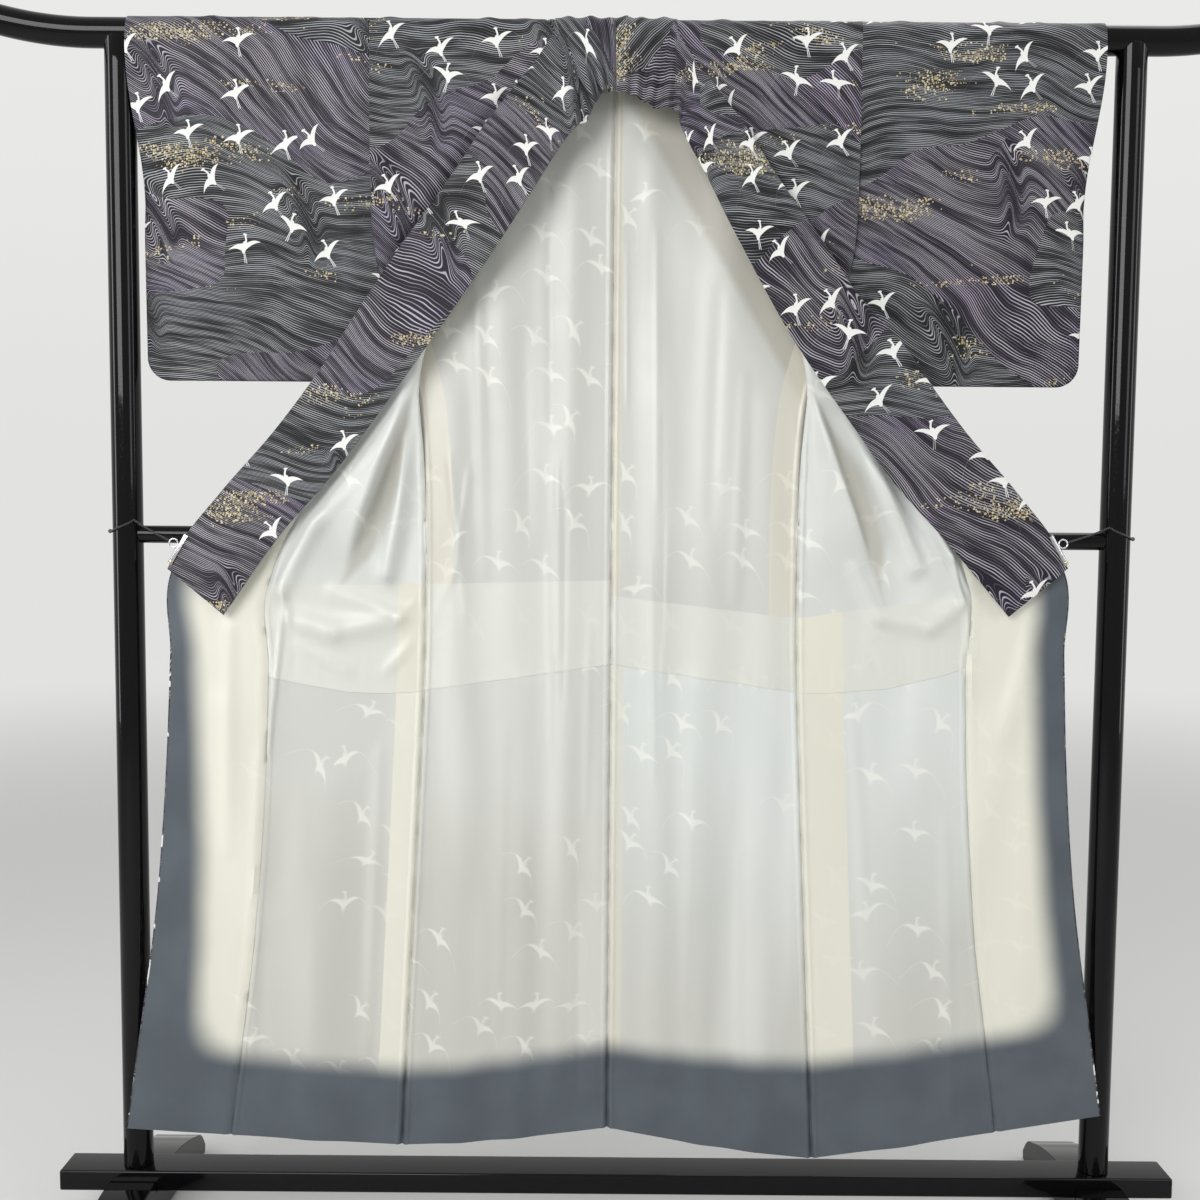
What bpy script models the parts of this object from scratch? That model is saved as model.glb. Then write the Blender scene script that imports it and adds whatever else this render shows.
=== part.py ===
"""A lined komon kimono that hangs over the top beam of a lacquered kimono stand.

Metres, +Z up. The origin is on the floor under the middle of the stand, and the
viewer stands at -Y. The fronts of the kimono are pulled open and clipped to ties,
so the lining of the back, the fronts and the overlap panels faces the viewer.

Each cloth piece is a grid of points worked out from the cut of the garment. It is
a wall: the grid moved out along its normals twice, and closed round its edges.
Every half is worked out as the half on +X and mirrored for the other side.
"""
import math
from collections import namedtuple

import bmesh
import bpy
import numpy as np

# The stand
POST_SPACING = 1.41
POST_RADIUS = 0.021
BEAM_RADIUS = 0.0205
BEAM_HEIGHT = 1.7085
BEAM_REACH = 0.95
UPTURN_START = 0.74
UPTURN_CURVE = 0.95
BEAM_TIP_RADIUS = 0.0154
BEAM_STEPS = 6
BAR_RADIUS = 0.0125
BAR_HEIGHT = 1.0115
BASE_LENGTH = 1.624
BASE_DEPTH = 0.055
BASE_THICKNESS = 0.030
BASE_TOP = 0.084
FOOT_WIDTH = 0.075
FOOT_LENGTH = 0.40

# The cut of the kimono
BODY_LENGTH = 1.62
SHOULDER_WIDTH = 0.340
NECK_HALF = 0.085
OKUMI_TIP = 0.240
COLLAR_END = 0.820
OKUMI_AT_COLLAR = 0.135
OKUMI_AT_HEM = 0.150
WAIST_SEAM = 0.930

# Where and how it hangs
KIMONO_X = -0.014
BACK_DEPTH = -0.0155
FRONT_DEPTH = -0.021
ROLL_RADIUS = 0.006
ROLL_EASE = 0.0054
ROLL_LAG = 0.012
ROLLED_FROM = 0.04
SHIFT_RUN = 0.05
# Drops where the side edge leaves the sleeve, where the side seam opens flat, where
# the hem's lift begins, and how long each change takes
UNDERARM = 0.32
UNDERARM_EASE = 0.08
SIDE_OPENS = 0.60
SIDE_OPENS_EASE = 0.11
HEM_LIFT_FROM = 0.90
SIDE_LAP = 0.0040
TURNED_LEAN = 0.4
COLLAR_COVER = 0.11
CLOTH = 0.0012
LINING = 0.0010
COLLAR_CLOTH = 0.0020
SEAM_GAP = 0.0003
BEAM_CLEAR = 0.0006
COLLAR_LIFT = 0.0009

Side = namedtuple("Side", "name sign side_hem edge_hem")
SIDES = (
    Side("left", -1, 0.122, 0.150),
    Side("right", 1, 0.106, 0.180),
)
CENTRE_HEM = 0.150

# One row for each drop below the shoulder, measured along the cut.
# side, roll and seam are distances out from the centre back: the side edge,
# the turned-back roll, and the collar seam or front edge. fold is 1 where the
# front is turned back over itself and 0 where it lies open.
FrontRow = namedtuple("FrontRow", "drop side roll seam seam_height seam_depth fold")
FRONT = (
    FrontRow(0.033, 0.340, 0.085, 0.085, 1.7085, -0.0209, 1.0),
    FrontRow(0.065, 0.340, 0.104, 0.106, 1.6750, -0.0235, 1.0),
    FrontRow(0.100, 0.340, 0.116, 0.130, 1.6400, -0.0290, 1.0),
    FrontRow(0.160, 0.340, 0.137, 0.172, 1.5800, -0.0335, 1.0),
    FrontRow(0.230, 0.339, 0.158, 0.217, 1.5110, -0.0350, 1.0),
    FrontRow(0.335, 0.325, 0.193, 0.287, 1.4150, -0.0355, 1.0),
    FrontRow(0.400, 0.303, 0.228, 0.330, 1.3520, -0.0350, 1.0),
    FrontRow(0.470, 0.288, 0.258, 0.378, 1.2880, -0.0340, 1.0),
    FrontRow(0.530, 0.279, 0.269, 0.418, 1.2310, -0.0330, 0.8),
    FrontRow(0.610, 0.268, 0.267, 0.474, 1.1580, -0.0320, 0.2),
    FrontRow(0.710, 0.264, 0.264, 0.550, 1.0720, -0.0310, 0.0),
    FrontRow(0.790, 0.264, 0.264, 0.608, 0.9990, -0.0300, 0.0),
    FrontRow(0.820, 0.264, 0.264, 0.624, 0.9690, -0.0300, 0.0),
    FrontRow(0.950, 0.267, 0.267, 0.630, 0.8450, -0.0300, 0.0),
    FrontRow(1.100, 0.274, 0.274, 0.638, 0.6900, -0.0300, 0.0),
    FrontRow(1.300, 0.284, 0.284, 0.656, 0.4850, -0.0300, 0.0),
    FrontRow(1.500, 0.294, 0.294, 0.686, 0.2830, -0.0300, 0.0),
    FrontRow(1.620, 0.300, 0.300, 0.704, 0.1650, -0.0300, 0.0),
)

# The collar: where its free edge runs, by distance along the seam from the centre
# back. turn is 1 where the band folds back at its seam and 0 where it hangs over
# the beam.
CollarRow = namedtuple("CollarRow", "along free_out free_height free_depth turn")
COLLAR = (
    CollarRow(0.000, 0.000, 1.617, -0.0250, 0.0),
    CollarRow(0.040, 0.028, 1.604, -0.0270, 0.0),
    CollarRow(0.085, 0.050, 1.592, -0.0310, 0.0),
    CollarRow(0.124, 0.060, 1.580, -0.0340, 0.0),
    CollarRow(0.160, 0.066, 1.567, -0.0380, 0.1),
    CollarRow(0.201, 0.076, 1.545, -0.0430, 0.7),
    CollarRow(0.270, 0.092, 1.515, -0.0450, 1.0),
    CollarRow(0.385, 0.155, 1.421, -0.0460, 1.0),
    CollarRow(0.545, 0.247, 1.289, -0.0460, 1.0),
    CollarRow(0.694, 0.335, 1.168, -0.0450, 1.0),
    CollarRow(0.786, 0.390, 1.096, -0.0440, 1.0),
    CollarRow(0.900, 0.465, 1.010, -0.0430, 1.0),
    CollarRow(1.026, 0.543, 0.905, -0.0420, 1.0),
)
# Standing pleats where the band turns the corner of the neck.
Pleat = namedtuple("Pleat", "along spread stand")
PLEATS = (
    Pleat(0.066, 0.016, 0.009),
    Pleat(0.132, 0.018, 0.008),
)

# Large soft folds: a straight crest from one point to another, how wide it
# spreads and how far it stands towards the viewer.
Fold = namedtuple("Fold", "from_out from_height to_out to_height spread stand")
FRONT_FOLDS = (
    Fold(0.300, 1.290, 0.420, 1.020, 0.024, 0.012),
    Fold(0.275, 1.180, 0.350, 0.880, 0.020, 0.010),
    Fold(0.400, 1.160, 0.480, 0.900, 0.022, 0.010),
    Fold(0.560, 0.960, 0.400, 0.560, 0.030, 0.007),
    Fold(0.610, 0.900, 0.600, 0.300, 0.026, 0.006),
    Fold(0.400, 0.640, 0.430, 0.140, 0.034, 0.007),
)
BACK_FOLDS = (
    Fold(0.055, 1.540, 0.075, 0.240, 0.020, 0.006),
    Fold(0.160, 1.500, 0.130, 0.500, 0.030, 0.006),
    Fold(0.225, 1.200, 0.215, 0.140, 0.026, 0.007),
    Fold(0.120, 0.800, 0.135, 0.140, 0.024, 0.006),
)

# The sleeve's outer edge, its low corner and the gap left at its closed edges
WRIST_TOP_OUT = 0.676
WRIST_LOW_OUT = 0.657
SLEEVE_OUT = 0.655
SLEEVE_LOW = 1.233
SLEEVE_CORNER = 0.028
WRIST_LOW = 1.500
WRIST_BULGE = 0.006
SLEEVE_CLOSE = 0.003

# Radius of the half circle in which the collar turns back over its seam
TURN_RADIUS = 0.0035

# The clips: where they grip, by drop, and their section, out from the collar's seam
CLIP_FROM = 0.776
CLIP_TO = 0.817
CLIP_STEEL = 0.0012
CLIP_MOUTH = 0.0010
CLIP_SPINE = 0.0066
CLIP_CLEAR = 0.0004
TAB_LENGTH = 0.008
TAB_OUT = 0.0125
TAB_THICKNESS = 0.004
RING_OUT = 0.0145
RING_UP = 0.004
RING_RADIUS = 0.0060
RING_WIRE = 0.0013

# The ties: their run from ring to post, then their turns round the post
TIE_RADIUS = 0.0014
TIE_CLEAR = 0.0009
TieTurn = namedtuple("TieTurn", "angle rise radius")
TIE_TURNS = (
    TieTurn(-40.0, 0.0120, TIE_RADIUS),
    TieTurn(-15.0, 0.0105, TIE_RADIUS),
    TieTurn(10.0, 0.0085, TIE_RADIUS),
    TieTurn(35.0, 0.0065, TIE_RADIUS),
    TieTurn(60.0, 0.0050, TIE_RADIUS),
    TieTurn(74.0, 0.0045, 0.0022),
    TieTurn(84.0, 0.0042, 0.0030),
    TieTurn(94.0, 0.0040, 0.0022),
    TieTurn(108.0, 0.0040, TIE_RADIUS),
    TieTurn(135.0, 0.0050, TIE_RADIUS),
    TieTurn(165.0, 0.0080, TIE_RADIUS),
    TieTurn(195.0, 0.0120, TIE_RADIUS),
)

LACQUER = (0.008, 0.008, 0.009)
CHROME = (0.80, 0.80, 0.82)
CORD_BLACK = (0.012, 0.012, 0.013)
OUTER_SILK = (0.070, 0.066, 0.085)
UPPER_SILK = (0.74, 0.76, 0.75)
LOWER_SILK = (0.50, 0.53, 0.55)


def smooth(value):
    """Ease from 0 to 1 as the value runs from 0 to 1."""
    value = np.clip(value, 0.0, 1.0)
    return value * value * (3.0 - 2.0 * value)


def read(table, key, column, at):
    """Read a column at any key: a smooth curve through the table's rows."""
    keys = np.array([getattr(row, key) for row in table])
    values = np.array([getattr(row, column) for row in table])
    slopes = np.gradient(values, keys)
    at = np.clip(np.asarray(at, dtype=float), keys[0], keys[-1])
    row = np.clip(np.searchsorted(keys, at) - 1, 0, len(keys) - 2)
    step = keys[row + 1] - keys[row]
    part = (at - keys[row]) / step
    ease = part * part * (3.0 - 2.0 * part)
    rise = part * (1.0 - part) ** 2 * slopes[row]
    settle = part * part * (1.0 - part) * slopes[row + 1]
    return values[row] * (1.0 - ease) + values[row + 1] * ease + step * (rise - settle)


def front(column, drop):
    """A column of the front's table at a drop below the shoulder."""
    return read(FRONT, "drop", column, drop)


def fold_stand(folds, out, height):
    """How far all folds together stand towards the viewer at each point."""
    total = np.zeros(np.broadcast(out, height).shape)
    for fold in folds:
        run = np.array([fold.to_out - fold.from_out, fold.to_height - fold.from_height])
        length = np.hypot(*run)
        run = run / length
        along = (out - fold.from_out) * run[0] + (height - fold.from_height) * run[1]
        across = (out - fold.from_out) * run[1] - (height - fold.from_height) * run[0]
        part = np.clip(along / length, 0.0, 1.0)
        beyond = along - part * length
        distance = np.hypot(across, beyond)
        swell = 0.35 + 0.65 * np.sin(math.pi * (0.15 + 0.7 * part))
        total = total + fold.stand * swell * np.exp(-(distance / fold.spread) ** 2)
    return total


CLOTH_RADIUS = BEAM_RADIUS + BEAM_CLEAR - SEAM_GAP / 2
QUARTER = CLOTH_RADIUS * math.pi / 2
BAR_EASE = 0.03
BACK_SLOPE = (CLOTH_RADIUS - BACK_DEPTH) / (BEAM_HEIGHT - BAR_HEIGHT)


def hang_depth(height):
    """Depth of the back: it slants from behind the beam to before the bar."""
    lift = (height - BAR_HEIGHT) / BAR_EASE
    return BACK_DEPTH + BACK_SLOPE * BAR_EASE * np.logaddexp(0.0, lift)


def over_beam(drop, lift=0.0):
    """Height and depth round the top of the beam, the back side positive."""
    angle = np.clip(drop, -QUARTER, QUARTER) / CLOTH_RADIUS
    height = BEAM_HEIGHT + (CLOTH_RADIUS + lift) * np.cos(angle)
    depth = -(CLOTH_RADIUS + lift) * np.sin(angle)
    return height, depth


def side_edge(drop):
    """Distance out of the body's side edge, never past the sleeve's seam."""
    return np.minimum(front("side", drop), SHOULDER_WIDTH)


def back_points(drop, across, side):
    """The back at a drop; across is 0 at the side edge and 1 at the centre."""
    drop, across = np.broadcast_arrays(drop, across)
    out = side_edge(drop) * (1.0 - across)
    arc_height, arc_depth = over_beam(-drop)
    height = np.where(drop < QUARTER, arc_height, BEAM_HEIGHT + QUARTER - drop)
    depth = np.where(drop < QUARTER, arc_depth, hang_depth(height))
    flat_hem = BEAM_HEIGHT + QUARTER - BODY_LENGTH
    side_lift = (side.side_hem - flat_hem) * (1.0 - across)
    centre_lift = (CENTRE_HEM - flat_hem) * across ** 1.5
    hem = smooth((drop - HEM_LIFT_FROM) / (BODY_LENGTH - HEM_LIFT_FROM))
    height = height + (side_lift + centre_lift) * hem
    free = smooth((drop - QUARTER) / 0.15) * smooth((1.0 - across) / 0.2 + 0.3)
    depth = depth - fold_stand(BACK_FOLDS, out, height) * free * smooth(across / 0.15)
    return np.stack([out, depth, height], axis=-1)


def front_length(drop):
    """Length of a row of the front from its side edge to its inner edge."""
    return front("side", drop) - 2.0 * front("roll", drop) + front("seam", drop)


def roll_lag(turned_width):
    """How far the roll starts past its place where little is turned back yet."""
    return ROLL_LAG * (1.0 - smooth(turned_width / ROLLED_FROM))


def front_points(drop, along, side):
    """The front at a drop, at a length along its row from the side edge.

    out follows a hyperbola round the roll, sqrt(d*d + r*r) with d the length past
    the roll, shifted to meet the side edge and the seam. depth goes from one to the
    other in a tanh step at the roll where the front is folded, or evenly where open.
    """
    drop, along = np.broadcast_arrays(drop, along)
    fold = front("fold", drop)
    roll = front("roll", drop)
    limb = front("side", drop) - roll
    length = front_length(drop)
    radius = ROLL_RADIUS * fold
    lag = roll_lag(length - limb)
    past = along - limb
    open_limb = np.maximum(length - limb, 1e-6)
    at_side = front("side", drop) - np.hypot(limb + lag, radius)
    at_seam = front("seam", drop) - np.hypot(open_limb - lag, radius)
    run = np.minimum(SHIFT_RUN, 0.5 * limb)
    out = np.hypot(past - lag, radius)
    out = out + at_side + (at_seam - at_side) * smooth((past + run) / (open_limb + run))
    side_height = BEAM_HEIGHT + QUARTER - drop
    share = np.clip(past / open_limb, 0.0, 1.0)
    height = side_height + (front("seam_height", drop) - side_height) * share
    hem = smooth((drop - HEM_LIFT_FROM) / (BODY_LENGTH - HEM_LIFT_FROM))
    side_lift = (side.side_hem - (BEAM_HEIGHT + QUARTER - BODY_LENGTH)) * (1.0 - share)
    edge_lift = (side.edge_hem - FRONT[-1].seam_height) * share
    height = height + (side_lift + edge_lift) * hem
    free_side = smooth((drop - UNDERARM) / UNDERARM_EASE)
    open_side = smooth((drop - SIDE_OPENS) / SIDE_OPENS_EASE)
    behind = hang_depth(side_height) - SIDE_LAP * (1.0 - open_side)
    side_depth = FRONT_DEPTH * (1.0 - free_side) + behind * free_side
    lean = TURNED_LEAN * free_side * np.clip(along / np.maximum(limb, 0.001), 0.0, 1.0)
    turned = 0.5 + 0.5 * np.tanh((past - lag) / ROLL_EASE)
    turned = lean + (1.0 - lean) * turned
    opened = np.clip(along / length, 0.0, 1.0) ** 0.8
    step = turned * fold + opened * (1.0 - fold)
    depth = side_depth + (front("seam_depth", drop) - side_depth) * step
    from_seam = length - along
    below_collar = smooth((drop - COLLAR_END) / 0.08)
    bared = smooth((from_seam - COLLAR_COVER) / 0.05)
    covered = below_collar + (1.0 - below_collar) * (0.15 + 0.85 * bared)
    loose = smooth(past / 0.03 - 0.2) * smooth(from_seam / 0.05) * covered
    depth = depth - fold_stand(FRONT_FOLDS, out, height) * loose
    arc_height, arc_depth = over_beam(drop)
    height = np.where(drop < QUARTER, arc_height, height)
    depth = np.where(drop < QUARTER, arc_depth, depth)
    out_flat = SHOULDER_WIDTH - along
    out = np.where(drop < QUARTER, out_flat, out)
    return np.stack([out, depth, height], axis=-1)


def row_lengths(drop, across, start, end):
    """Lengths along a front's row, closer together round the roll."""
    fold = float(front("fold", drop))
    limb = float(front("side", drop) - front("roll", drop))
    turned = float(front("seam", drop) - front("roll", drop))
    length = end - start
    centre = limb + float(roll_lag(turned))
    ease = 1.6 * ROLL_RADIUS
    after = min(centre + min(ease, 0.6 * abs(length - centre)), length - ease)
    before = min(centre - min(ease, 0.6 * limb), after - ease)
    before = before * fold + 0.3 * length * (1.0 - fold)
    after = after * fold + 0.6 * length * (1.0 - fold)
    first = np.clip(across / 0.3, 0.0, 1.0) * before
    middle = np.clip((across - 0.3) / 0.3, 0.0, 1.0) * (after - before)
    last = np.clip((across - 0.6) / 0.4, 0.0, 1.0) * (length - after)
    return start + first + middle + last


def okumi_width(drop):
    """Width of the overlap panel: it comes to a point under the collar."""
    upper = OKUMI_AT_COLLAR * (drop - OKUMI_TIP) / (COLLAR_END - OKUMI_TIP)
    lower_part = (drop - COLLAR_END) / (BODY_LENGTH - COLLAR_END)
    lower = OKUMI_AT_COLLAR + (OKUMI_AT_HEM - OKUMI_AT_COLLAR) * lower_part
    return np.clip(np.where(drop < COLLAR_END, upper, lower), 0.0, None)


def unit(vectors):
    """Vectors made one long."""
    size = np.linalg.norm(vectors, axis=-1, keepdims=True)
    return vectors / np.maximum(size, 1e-12)


def normals(grid):
    """Unit normals of a grid: at each point the mean of the faces that meet there."""
    face = unit(np.cross(grid[1:, 1:] - grid[:-1, :-1], grid[1:, :-1] - grid[:-1, 1:]))
    padded = np.pad(face, ((1, 1), (1, 1), (0, 0)))
    return unit(padded[1:, 1:] + padded[1:, :-1] + padded[:-1, 1:] + padded[:-1, :-1])


def material(name, colour, roughness, metallic=0.0):
    """A Principled material with one colour."""
    made = bpy.data.materials.new(name)
    made.use_nodes = True
    shader = made.node_tree.nodes["Principled BSDF"]
    shader.inputs["Base Color"].default_value = (*colour, 1.0)
    shader.inputs["Roughness"].default_value = roughness
    shader.inputs["Metallic"].default_value = metallic
    return made


def add_mesh(name, points, faces, surface):
    """Add a closed mesh as an object, its faces turned outwards."""
    mesh = bpy.data.meshes.new(name)
    mesh.from_pydata([tuple(point) for point in points], [], faces)
    shape = bmesh.new()
    shape.from_mesh(mesh)
    bmesh.ops.recalc_face_normals(shape, faces=shape.faces)
    shape.to_mesh(mesh)
    shape.free()
    mesh.shade_smooth()
    mesh.materials.append(surface)
    made = bpy.data.objects.new(name, mesh)
    bpy.context.collection.objects.link(made)
    return made


def add_wall(name, grid, normal, side, far, near, surface, loop=False, other=slice(0)):
    """Close the space between two offsets of a grid into one wall.

    Both faces are split along the same diagonals, so walls on one grid nest. other
    names the columns that are split along the other diagonal.
    """
    layers = np.stack([grid + normal * far, grid + normal * near])
    layers[..., 0] = KIMONO_X + side.sign * layers[..., 0]
    rows, columns = grid.shape[:2]
    index = np.arange(2 * rows * columns).reshape(2, rows, columns)
    if loop:
        index = np.concatenate([index, index[:, :, :1]], axis=2)
    rims = [index[:, 0, :], index[:, -1, :]]
    if not loop:
        rims += [index[:, :, 0], index[:, :, -1]]
    faces = []
    for sheet in [index[0], index[1]] + rims:
        corners = (sheet[:-1, :-1], sheet[:-1, 1:], sheet[1:, 1:], sheet[1:, :-1])
        quads = np.stack(corners, axis=-1)
        quads[:, other] = np.roll(quads[:, other], 1, axis=-1)
        for triangle in ([0, 1, 2], [0, 2, 3]):
            faces.extend(quads[..., triangle].reshape(-1, 3).tolist())
    return add_mesh(name, layers.reshape(-1, 3), faces, surface)


def drawn_in(grid, amounts):
    """Move a grid's first and last rows and columns in by the given amounts."""
    first_row, last_row, first_column, last_column = amounts
    grid = grid.copy()
    for rows, amount in ((grid, first_row), (grid[::-1], last_row)):
        rows[0] += unit(rows[1] - rows[0]) * amount
    columns = grid.transpose(1, 0, 2)
    for lines, amount in ((columns, first_column), (columns[::-1], last_column)):
        lines[0] += unit(lines[1] - lines[0]) * amount
    return grid


GAP = SEAM_GAP / 2
OUTER = (GAP + CLOTH, GAP)
INSIDE = (-GAP, -GAP - LINING)
BAND = (GAP + COLLAR_CLOTH, GAP)

# Rows of the body, by drop below the shoulder, closer where it turns
SEWN_DROPS = (0.36, 0.40, 0.435, 0.47, 0.50, 0.53, 0.57, 0.61, 0.66, 0.71, 0.765, 0.82,
              WAIST_SEAM, 1.04, 1.16, 1.30, 1.46, BODY_LENGTH)
FRONT_DROPS = (0.065, 0.08, 0.09, 0.10, 0.11, 0.12, 0.14, 0.18, 0.23, 0.28, 0.32) + SEWN_DROPS
BACK_DROPS = SEWN_DROPS[::-1] + (0.28, 0.21, 0.14, 0.065)
ARC_STEPS = 10
NECKLINE_BACK = 0.010
BODY_COLUMNS = 11
BACK_LINING_TOP = 0.065
FRONT_LINING_TOP = 0.36
OKUMI_TOP = 0.28
OKUMI_LINING_TOP = 0.61
OKUMI_COLUMNS = 4


def body_rows(side):
    """One length of cloth: up the back, over the beam and down the front.

    Past the body's columns, the front's rows run on over the overlap panel.
    """
    columns = np.linspace(0.0, 1.0, BODY_COLUMNS)
    upper = []
    arc = np.linspace(QUARTER, -QUARTER, ARC_STEPS + 1)
    for drop in list(BACK_DROPS) + list(arc[arc > NECKLINE_BACK]):
        start = GAP / float(side_edge(drop))
        upper.append(back_points(drop, start + columns * (1.0 - 2.0 * start), side))
    for drop in -arc[arc < NECKLINE_BACK]:
        height, depth = over_beam(drop)
        out = SHOULDER_WIDTH - GAP - columns * (SHOULDER_WIDTH - NECK_HALF - 2.0 * GAP)
        upper.append(np.stack([out, np.full_like(out, depth), np.full_like(out, height)], axis=-1))
    lower = []
    for drop in FRONT_DROPS:
        end = float(front_length(drop))
        seam = end - float(okumi_width(drop))
        along = row_lengths(drop, columns, GAP, seam)
        okumi = np.linspace(seam, end - GAP, OKUMI_COLUMNS)[1:]
        lower.append(front_points(drop, np.concatenate([along, okumi]), side))
    return np.stack(upper), np.stack(lower)


SeamEdge = namedtuple("SeamEdge", "edge inner normal")


def add_body(side, silk, upper_silk, lower_silk):
    """Add a body half, its overlap panel and the linings on their grids.

    Returns the edge that the collar is sewn to, below the beam.
    """
    upper, lower = body_rows(side)
    grid = np.concatenate([upper, lower[:, :BODY_COLUMNS]])
    normal = normals(grid)
    okumi_first = FRONT_DROPS.index(OKUMI_TOP)
    wide = normals(lower[okumi_first:])
    normal[len(upper) + okumi_first:] = wide[:, :BODY_COLUMNS]
    body = grid.copy()
    body[len(upper):] = drawn_in(body[len(upper):], (0.0, 0.0, 0.0, GAP))
    add_wall("body_" + side.name, body, normal, side, *OUTER, silk)
    back_waist = BACK_DROPS.index(WAIST_SEAM)
    front_waist = len(upper) + FRONT_DROPS.index(WAIST_SEAM)
    stretches = (
        ("lining_back_lower_", 0, back_waist, lower_silk),
        ("lining_back_upper_", back_waist, BACK_DROPS.index(BACK_LINING_TOP), upper_silk),
        ("lining_front_upper_", len(upper) + FRONT_DROPS.index(FRONT_LINING_TOP), front_waist,
         upper_silk),
        ("lining_front_lower_", front_waist, len(grid) - 1, lower_silk),
    )
    for name, first, last, surface in stretches:
        part = slice(first, last + 1)
        sheet = drawn_in(body[part], (GAP, GAP, 0.0, 0.0))
        add_wall(name + side.name, sheet, normal[part], side, *INSIDE, surface)
    okumi = drawn_in(lower[okumi_first:, BODY_COLUMNS - 1:], (0.0, 0.0, GAP, 0.0))
    okumi_normal = wide[:, BODY_COLUMNS - 1:]
    add_wall("okumi_" + side.name, okumi, okumi_normal, side, *OUTER, silk)
    first = FRONT_DROPS.index(OKUMI_LINING_TOP) - okumi_first
    sheet = drawn_in(okumi[first:], (GAP, GAP, 0.0, 0.0))
    add_wall("lining_okumi_" + side.name, sheet, okumi_normal[first:], side, *INSIDE, lower_silk)
    to_okumi = slice(len(upper), len(upper) + okumi_first)
    under_collar = FRONT_DROPS.index(COLLAR_END) + 1 - okumi_first
    return SeamEdge(
        np.concatenate([body[to_okumi, -1], okumi[:under_collar, -1]]),
        np.concatenate([body[to_okumi, -2], okumi[:under_collar, -2]]),
        np.concatenate([normal[to_okumi, -1], okumi_normal[:under_collar, -1]]),
    )


def sleeve_seam(part):
    """The closed edge: down the outer edge, round the corner, along the bottom.

    Returns the place and the outward direction in the plane of the sleeve.
    """
    upright = WRIST_LOW - SLEEVE_LOW - SLEEVE_CORNER
    round_length = SLEEVE_CORNER * math.pi / 2
    bottom = SLEEVE_OUT - SLEEVE_CORNER - SHOULDER_WIDTH - GAP
    run = part * (upright + round_length + bottom)
    down = np.clip(run, 0.0, upright)
    angle = np.clip(run - upright, 0.0, round_length) / SLEEVE_CORNER
    inward = np.clip(run - upright - round_length, 0.0, bottom)
    widen = (SLEEVE_OUT - WRIST_LOW_OUT) * (1.0 - down / upright)
    out = SLEEVE_OUT - widen - SLEEVE_CORNER * (1.0 - np.cos(angle)) - inward
    height = WRIST_LOW - down - SLEEVE_CORNER * np.sin(angle)
    return out, height, np.cos(angle), -np.sin(angle)


SLEEVE_ROWS = (0.0, 0.14, 0.28, 0.4195, 0.4453, 0.4710, 0.4967, 0.62, 0.75, 0.88, 1.0)
SLEEVE_STEPS = 6


def sleeve_rows():
    """A folded sleeve as loops, from the wrist opening to the open inner edge.

    Each loop runs over the beam, down the back wall, round the closed edge in a
    half circle and up the front wall. Returns the points and their normals.
    """
    part = np.array(SLEEVE_ROWS)[:, None]
    top_out = WRIST_TOP_OUT + (SHOULDER_WIDTH + GAP - WRIST_TOP_OUT) * part
    low_out, low_height, out_way, up_way = sleeve_seam(part)
    arc_height, arc_depth = over_beam(np.linspace(QUARTER, -QUARTER, ARC_STEPS + 1))
    arc = np.broadcast_arrays(top_out, arc_depth, arc_height)
    down = np.arange(1, SLEEVE_STEPS)[None, :] / SLEEVE_STEPS
    wall_out = top_out + (low_out - top_out) * down
    wall_out = wall_out + WRIST_BULGE * 6.75 * down * (1.0 - down) ** 2 * (1.0 - part) ** 2
    wall_height = BEAM_HEIGHT + (low_height - BEAM_HEIGHT) * down
    wall_depth = SLEEVE_CLOSE + (CLOTH_RADIUS - SLEEVE_CLOSE) * (1.0 - down ** 1.3)
    back = np.broadcast_arrays(wall_out, wall_depth, wall_height)
    front_wall = [line[:, ::-1] for line in np.broadcast_arrays(wall_out, -wall_depth, wall_height)]
    turn = np.linspace(0.0, math.pi, 4)[None, :]
    swing = SLEEVE_CLOSE * smooth(part / 0.14) * np.sin(turn)
    turn_out = low_out + out_way * swing
    turn_height = low_height + up_way * swing
    closed = np.broadcast_arrays(turn_out, SLEEVE_CLOSE * np.cos(turn), turn_height)
    loops = [np.stack(line, axis=-1) for line in (arc, back, closed, front_wall)]
    points = np.concatenate(loops, axis=1)
    flat = np.zeros_like(wall_out)
    arc_normal = np.broadcast_arrays(0.0 * top_out, arc_depth, arc_height - BEAM_HEIGHT)
    back_normal = (flat, flat + 1.0, flat)
    closed_normal = np.broadcast_arrays(out_way * np.sin(turn), np.cos(turn), up_way * np.sin(turn))
    front_normal = (flat, flat - 1.0, flat)
    parts = (arc_normal, back_normal, closed_normal, front_normal)
    normal = np.concatenate([np.stack(line, axis=-1) for line in parts], axis=1)
    return points, normal / np.linalg.norm(normal, axis=-1, keepdims=True)


NECKLINE_DROP = -0.0130
NECK_SIDE_DROP = -0.0065
NECK_TURN = NECK_HALF + QUARTER - NECK_SIDE_DROP
SEAM_STRETCH = 1.1456
TURN_SHARE = 0.105
NECK_ROWS = (0.0, 0.028, 0.048, 0.066)
COLLAR_COLUMNS = (0.0, 0.035, 0.07, 0.105, 0.16, 0.22, 0.28, 0.34, 0.56, 0.78, 1.0)


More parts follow.
